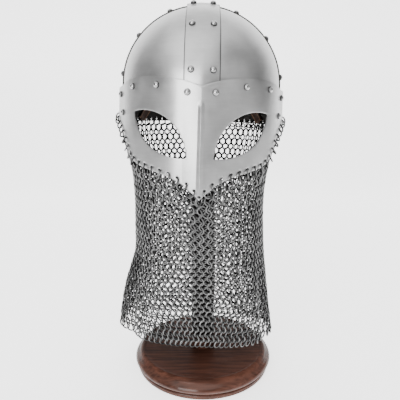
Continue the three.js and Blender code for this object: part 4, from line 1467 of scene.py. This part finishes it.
cap_top = RIM_HEIGHT + REST_HEIGHT - JOINT_GAP
cap_radii = np.linspace(CAP_RADIUS, 0, CAP_ROWS)
cap_sag = CAP_DOME_RADIUS - np.sqrt(CAP_DOME_RADIUS**2 - cap_radii**2)
cap_profile = [(0, cap_top - CAP_HEIGHT), (CAP_RADIUS - CAP_UNDERCUT, cap_top - CAP_HEIGHT)]
cap_profile += list(zip(cap_radii, cap_top - cap_sag))
post_low = BASE_PROFILE["rise"][-1] * BASE_HEIGHT + JOINT_GAP
post_high = cap_top - CAP_HEIGHT - JOINT_GAP
base_rows = zip(BASE_PROFILE["reach"], BASE_PROFILE["rise"])
base_profile = [(reach * BASE_RADIUS, rise * BASE_HEIGHT) for reach, rise in base_rows]
post_profile = [(0, post_low), (POST_RADIUS, post_low), (POST_RADIUS, post_high), (0, post_high)]
turned("base", base_profile, BASE_ROUNDING)
turned("post", post_profile, POST_ROUNDING)
turned("cap", cap_profile, CAP_ROUNDING)

# %% [markdown]
# ## Floor, light and camera
# The floor and backdrop are one pale sweep that glows behind the helmet, as lit paper does. The key
# light comes from the left, so the left half of the mask is bright and the crease divides it from the
# greyer right half. Sizes and places from here on are in metres, apart from the lens and its sensor.

# %% Backdrop
SWEEP_HALF_WIDTH = 2.4
SWEEP_FRONT = -2.2
SWEEP_BEND_START = 1.1
SWEEP_BEND_RADIUS = 0.6
SWEEP_BEND_STEPS = 11
SWEEP_HEIGHT = 2.8
PAPER_TONE = 0.9
PAPER_ROUGHNESS = 0.9
BACKDROP_GLOW = 2.0
FRONT_GLOW_SHARE = 0.1
GLOW_START = -0.45
GLOW_FULL = -0.1


def sweep():
    line = [(SWEEP_FRONT, 0.0), (SWEEP_BEND_START, 0.0)]
    for step in range(1, SWEEP_BEND_STEPS + 1):
        bend = math.pi / 2 * step / SWEEP_BEND_STEPS
        across = SWEEP_BEND_START + SWEEP_BEND_RADIUS * math.sin(bend)
        line.append((across, SWEEP_BEND_RADIUS * (1 - math.cos(bend))))
    line.append((SWEEP_BEND_START + SWEEP_BEND_RADIUS, SWEEP_HEIGHT))
    points = [(x, y, z) for y, z in line for x in (-SWEEP_HALF_WIDTH, SWEEP_HALF_WIDTH)]
    faces = [(2 * i, 2 * i + 1, 2 * i + 3, 2 * i + 2) for i in range(len(line) - 1)]
    mesh = bpy.data.meshes.new("backdrop")
    mesh.from_pydata(points, [], faces)
    mesh.shade_smooth()
    made = bpy.data.objects.new("backdrop", mesh)
    bpy.context.scene.collection.objects.link(made)
    paper = Shader("backdrop", Roughness=PAPER_ROUGHNESS, Emission_Strength=BACKDROP_GLOW)
    depth = paper.node("ShaderNodeSeparateXYZ", "Y", Vector=paper.place)
    behind = paper.ramp(depth, GLOW_START, GLOW_FULL)
    glow = paper.mix(behind, grey(FRONT_GLOW_SHARE), grey(1.0))
    mesh.materials.append(paper.finish(Base_Color=grey(PAPER_TONE), Emission_Color=glow))


sweep()

# %% Lights
LIGHTS = {
    "name": ["key_left", "fill_right", "top_soft", "back_wash"],
    "place": [(-0.62, -1.45, 0.5), (1.3, -0.9, 0.7), (-0.3, -0.9, 1.5), (0.0, 0.6, 1.9)],
    "aim": [(0, 0, 0.33), (0, 0, 0.3), (0, 0, 0.3), (0, 1.5, 0.5)],
    "size": [0.8, 1.2, 1.8, 1.8],
    "power": [22, 3, 19, 10],
}
STUDIO_LEFT = 0.2
STUDIO_RIGHT = 0.18
STUDIO_UP = 0.45
STUDIO_BLEND = 0.5


def studio_world():
    """Soft light from all round, a little brighter on the left and much brighter from above."""
    world = bpy.data.worlds.new("studio")
    world.use_nodes = True
    tree = world.node_tree
    background = tree.nodes["Background"]
    soft = {"interpolation_type": "SMOOTHSTEP"}
    direction = add_node(tree, "ShaderNodeTexCoord").outputs["Generated"]
    parts = add_node(tree, "ShaderNodeSeparateXYZ", Vector=direction)
    side = add_node(
        tree, "ShaderNodeMapRange", soft, Value=parts.outputs["X"],
        From_Min=-STUDIO_BLEND, From_Max=STUDIO_BLEND, To_Min=STUDIO_LEFT, To_Max=STUDIO_RIGHT,
    )
    up = add_node(tree, "ShaderNodeMapRange", soft, Value=parts.outputs["Z"], To_Max=STUDIO_UP)
    both = add_node(tree, "ShaderNodeMath", values=[side.outputs["Result"], up.outputs["Result"]])
    feed(tree, background.inputs["Strength"], both.outputs["Value"])
    feed(tree, background.inputs["Color"], (1, 1, 1, 1))
    bpy.context.scene.world = world


def lights():
    for name, place, aim, size, power in zip(*LIGHTS.values()):
        lamp = bpy.data.lights.new(name, "AREA")
        lamp.size = size
        lamp.energy = power
        made = bpy.data.objects.new(name, lamp)
        made.location = place
        made.rotation_euler = (Vector(aim) - Vector(place)).to_track_quat("-Z", "Y").to_euler()
        bpy.context.scene.collection.objects.link(made)
        print(name, "watts:", power)


studio_world()
lights()

# %% Camera
CAMERA_PLACE = (-0.004, -0.570, 0.362)
CAMERA_TILT = 77.5
LENS_MM = 39.33
SENSOR_MM = 36
NEAREST_SHOWN = 0.01

camera = bpy.data.objects.new("camera", bpy.data.cameras.new("camera"))
camera.location = CAMERA_PLACE
camera.rotation_euler = (math.radians(CAMERA_TILT), 0, 0)
camera.data.lens = LENS_MM
camera.data.sensor_width = SENSOR_MM
camera.data.clip_start = NEAREST_SHOWN
bpy.context.scene.collection.objects.link(camera)
bpy.context.scene.camera = camera
print("camera at:", CAMERA_PLACE)
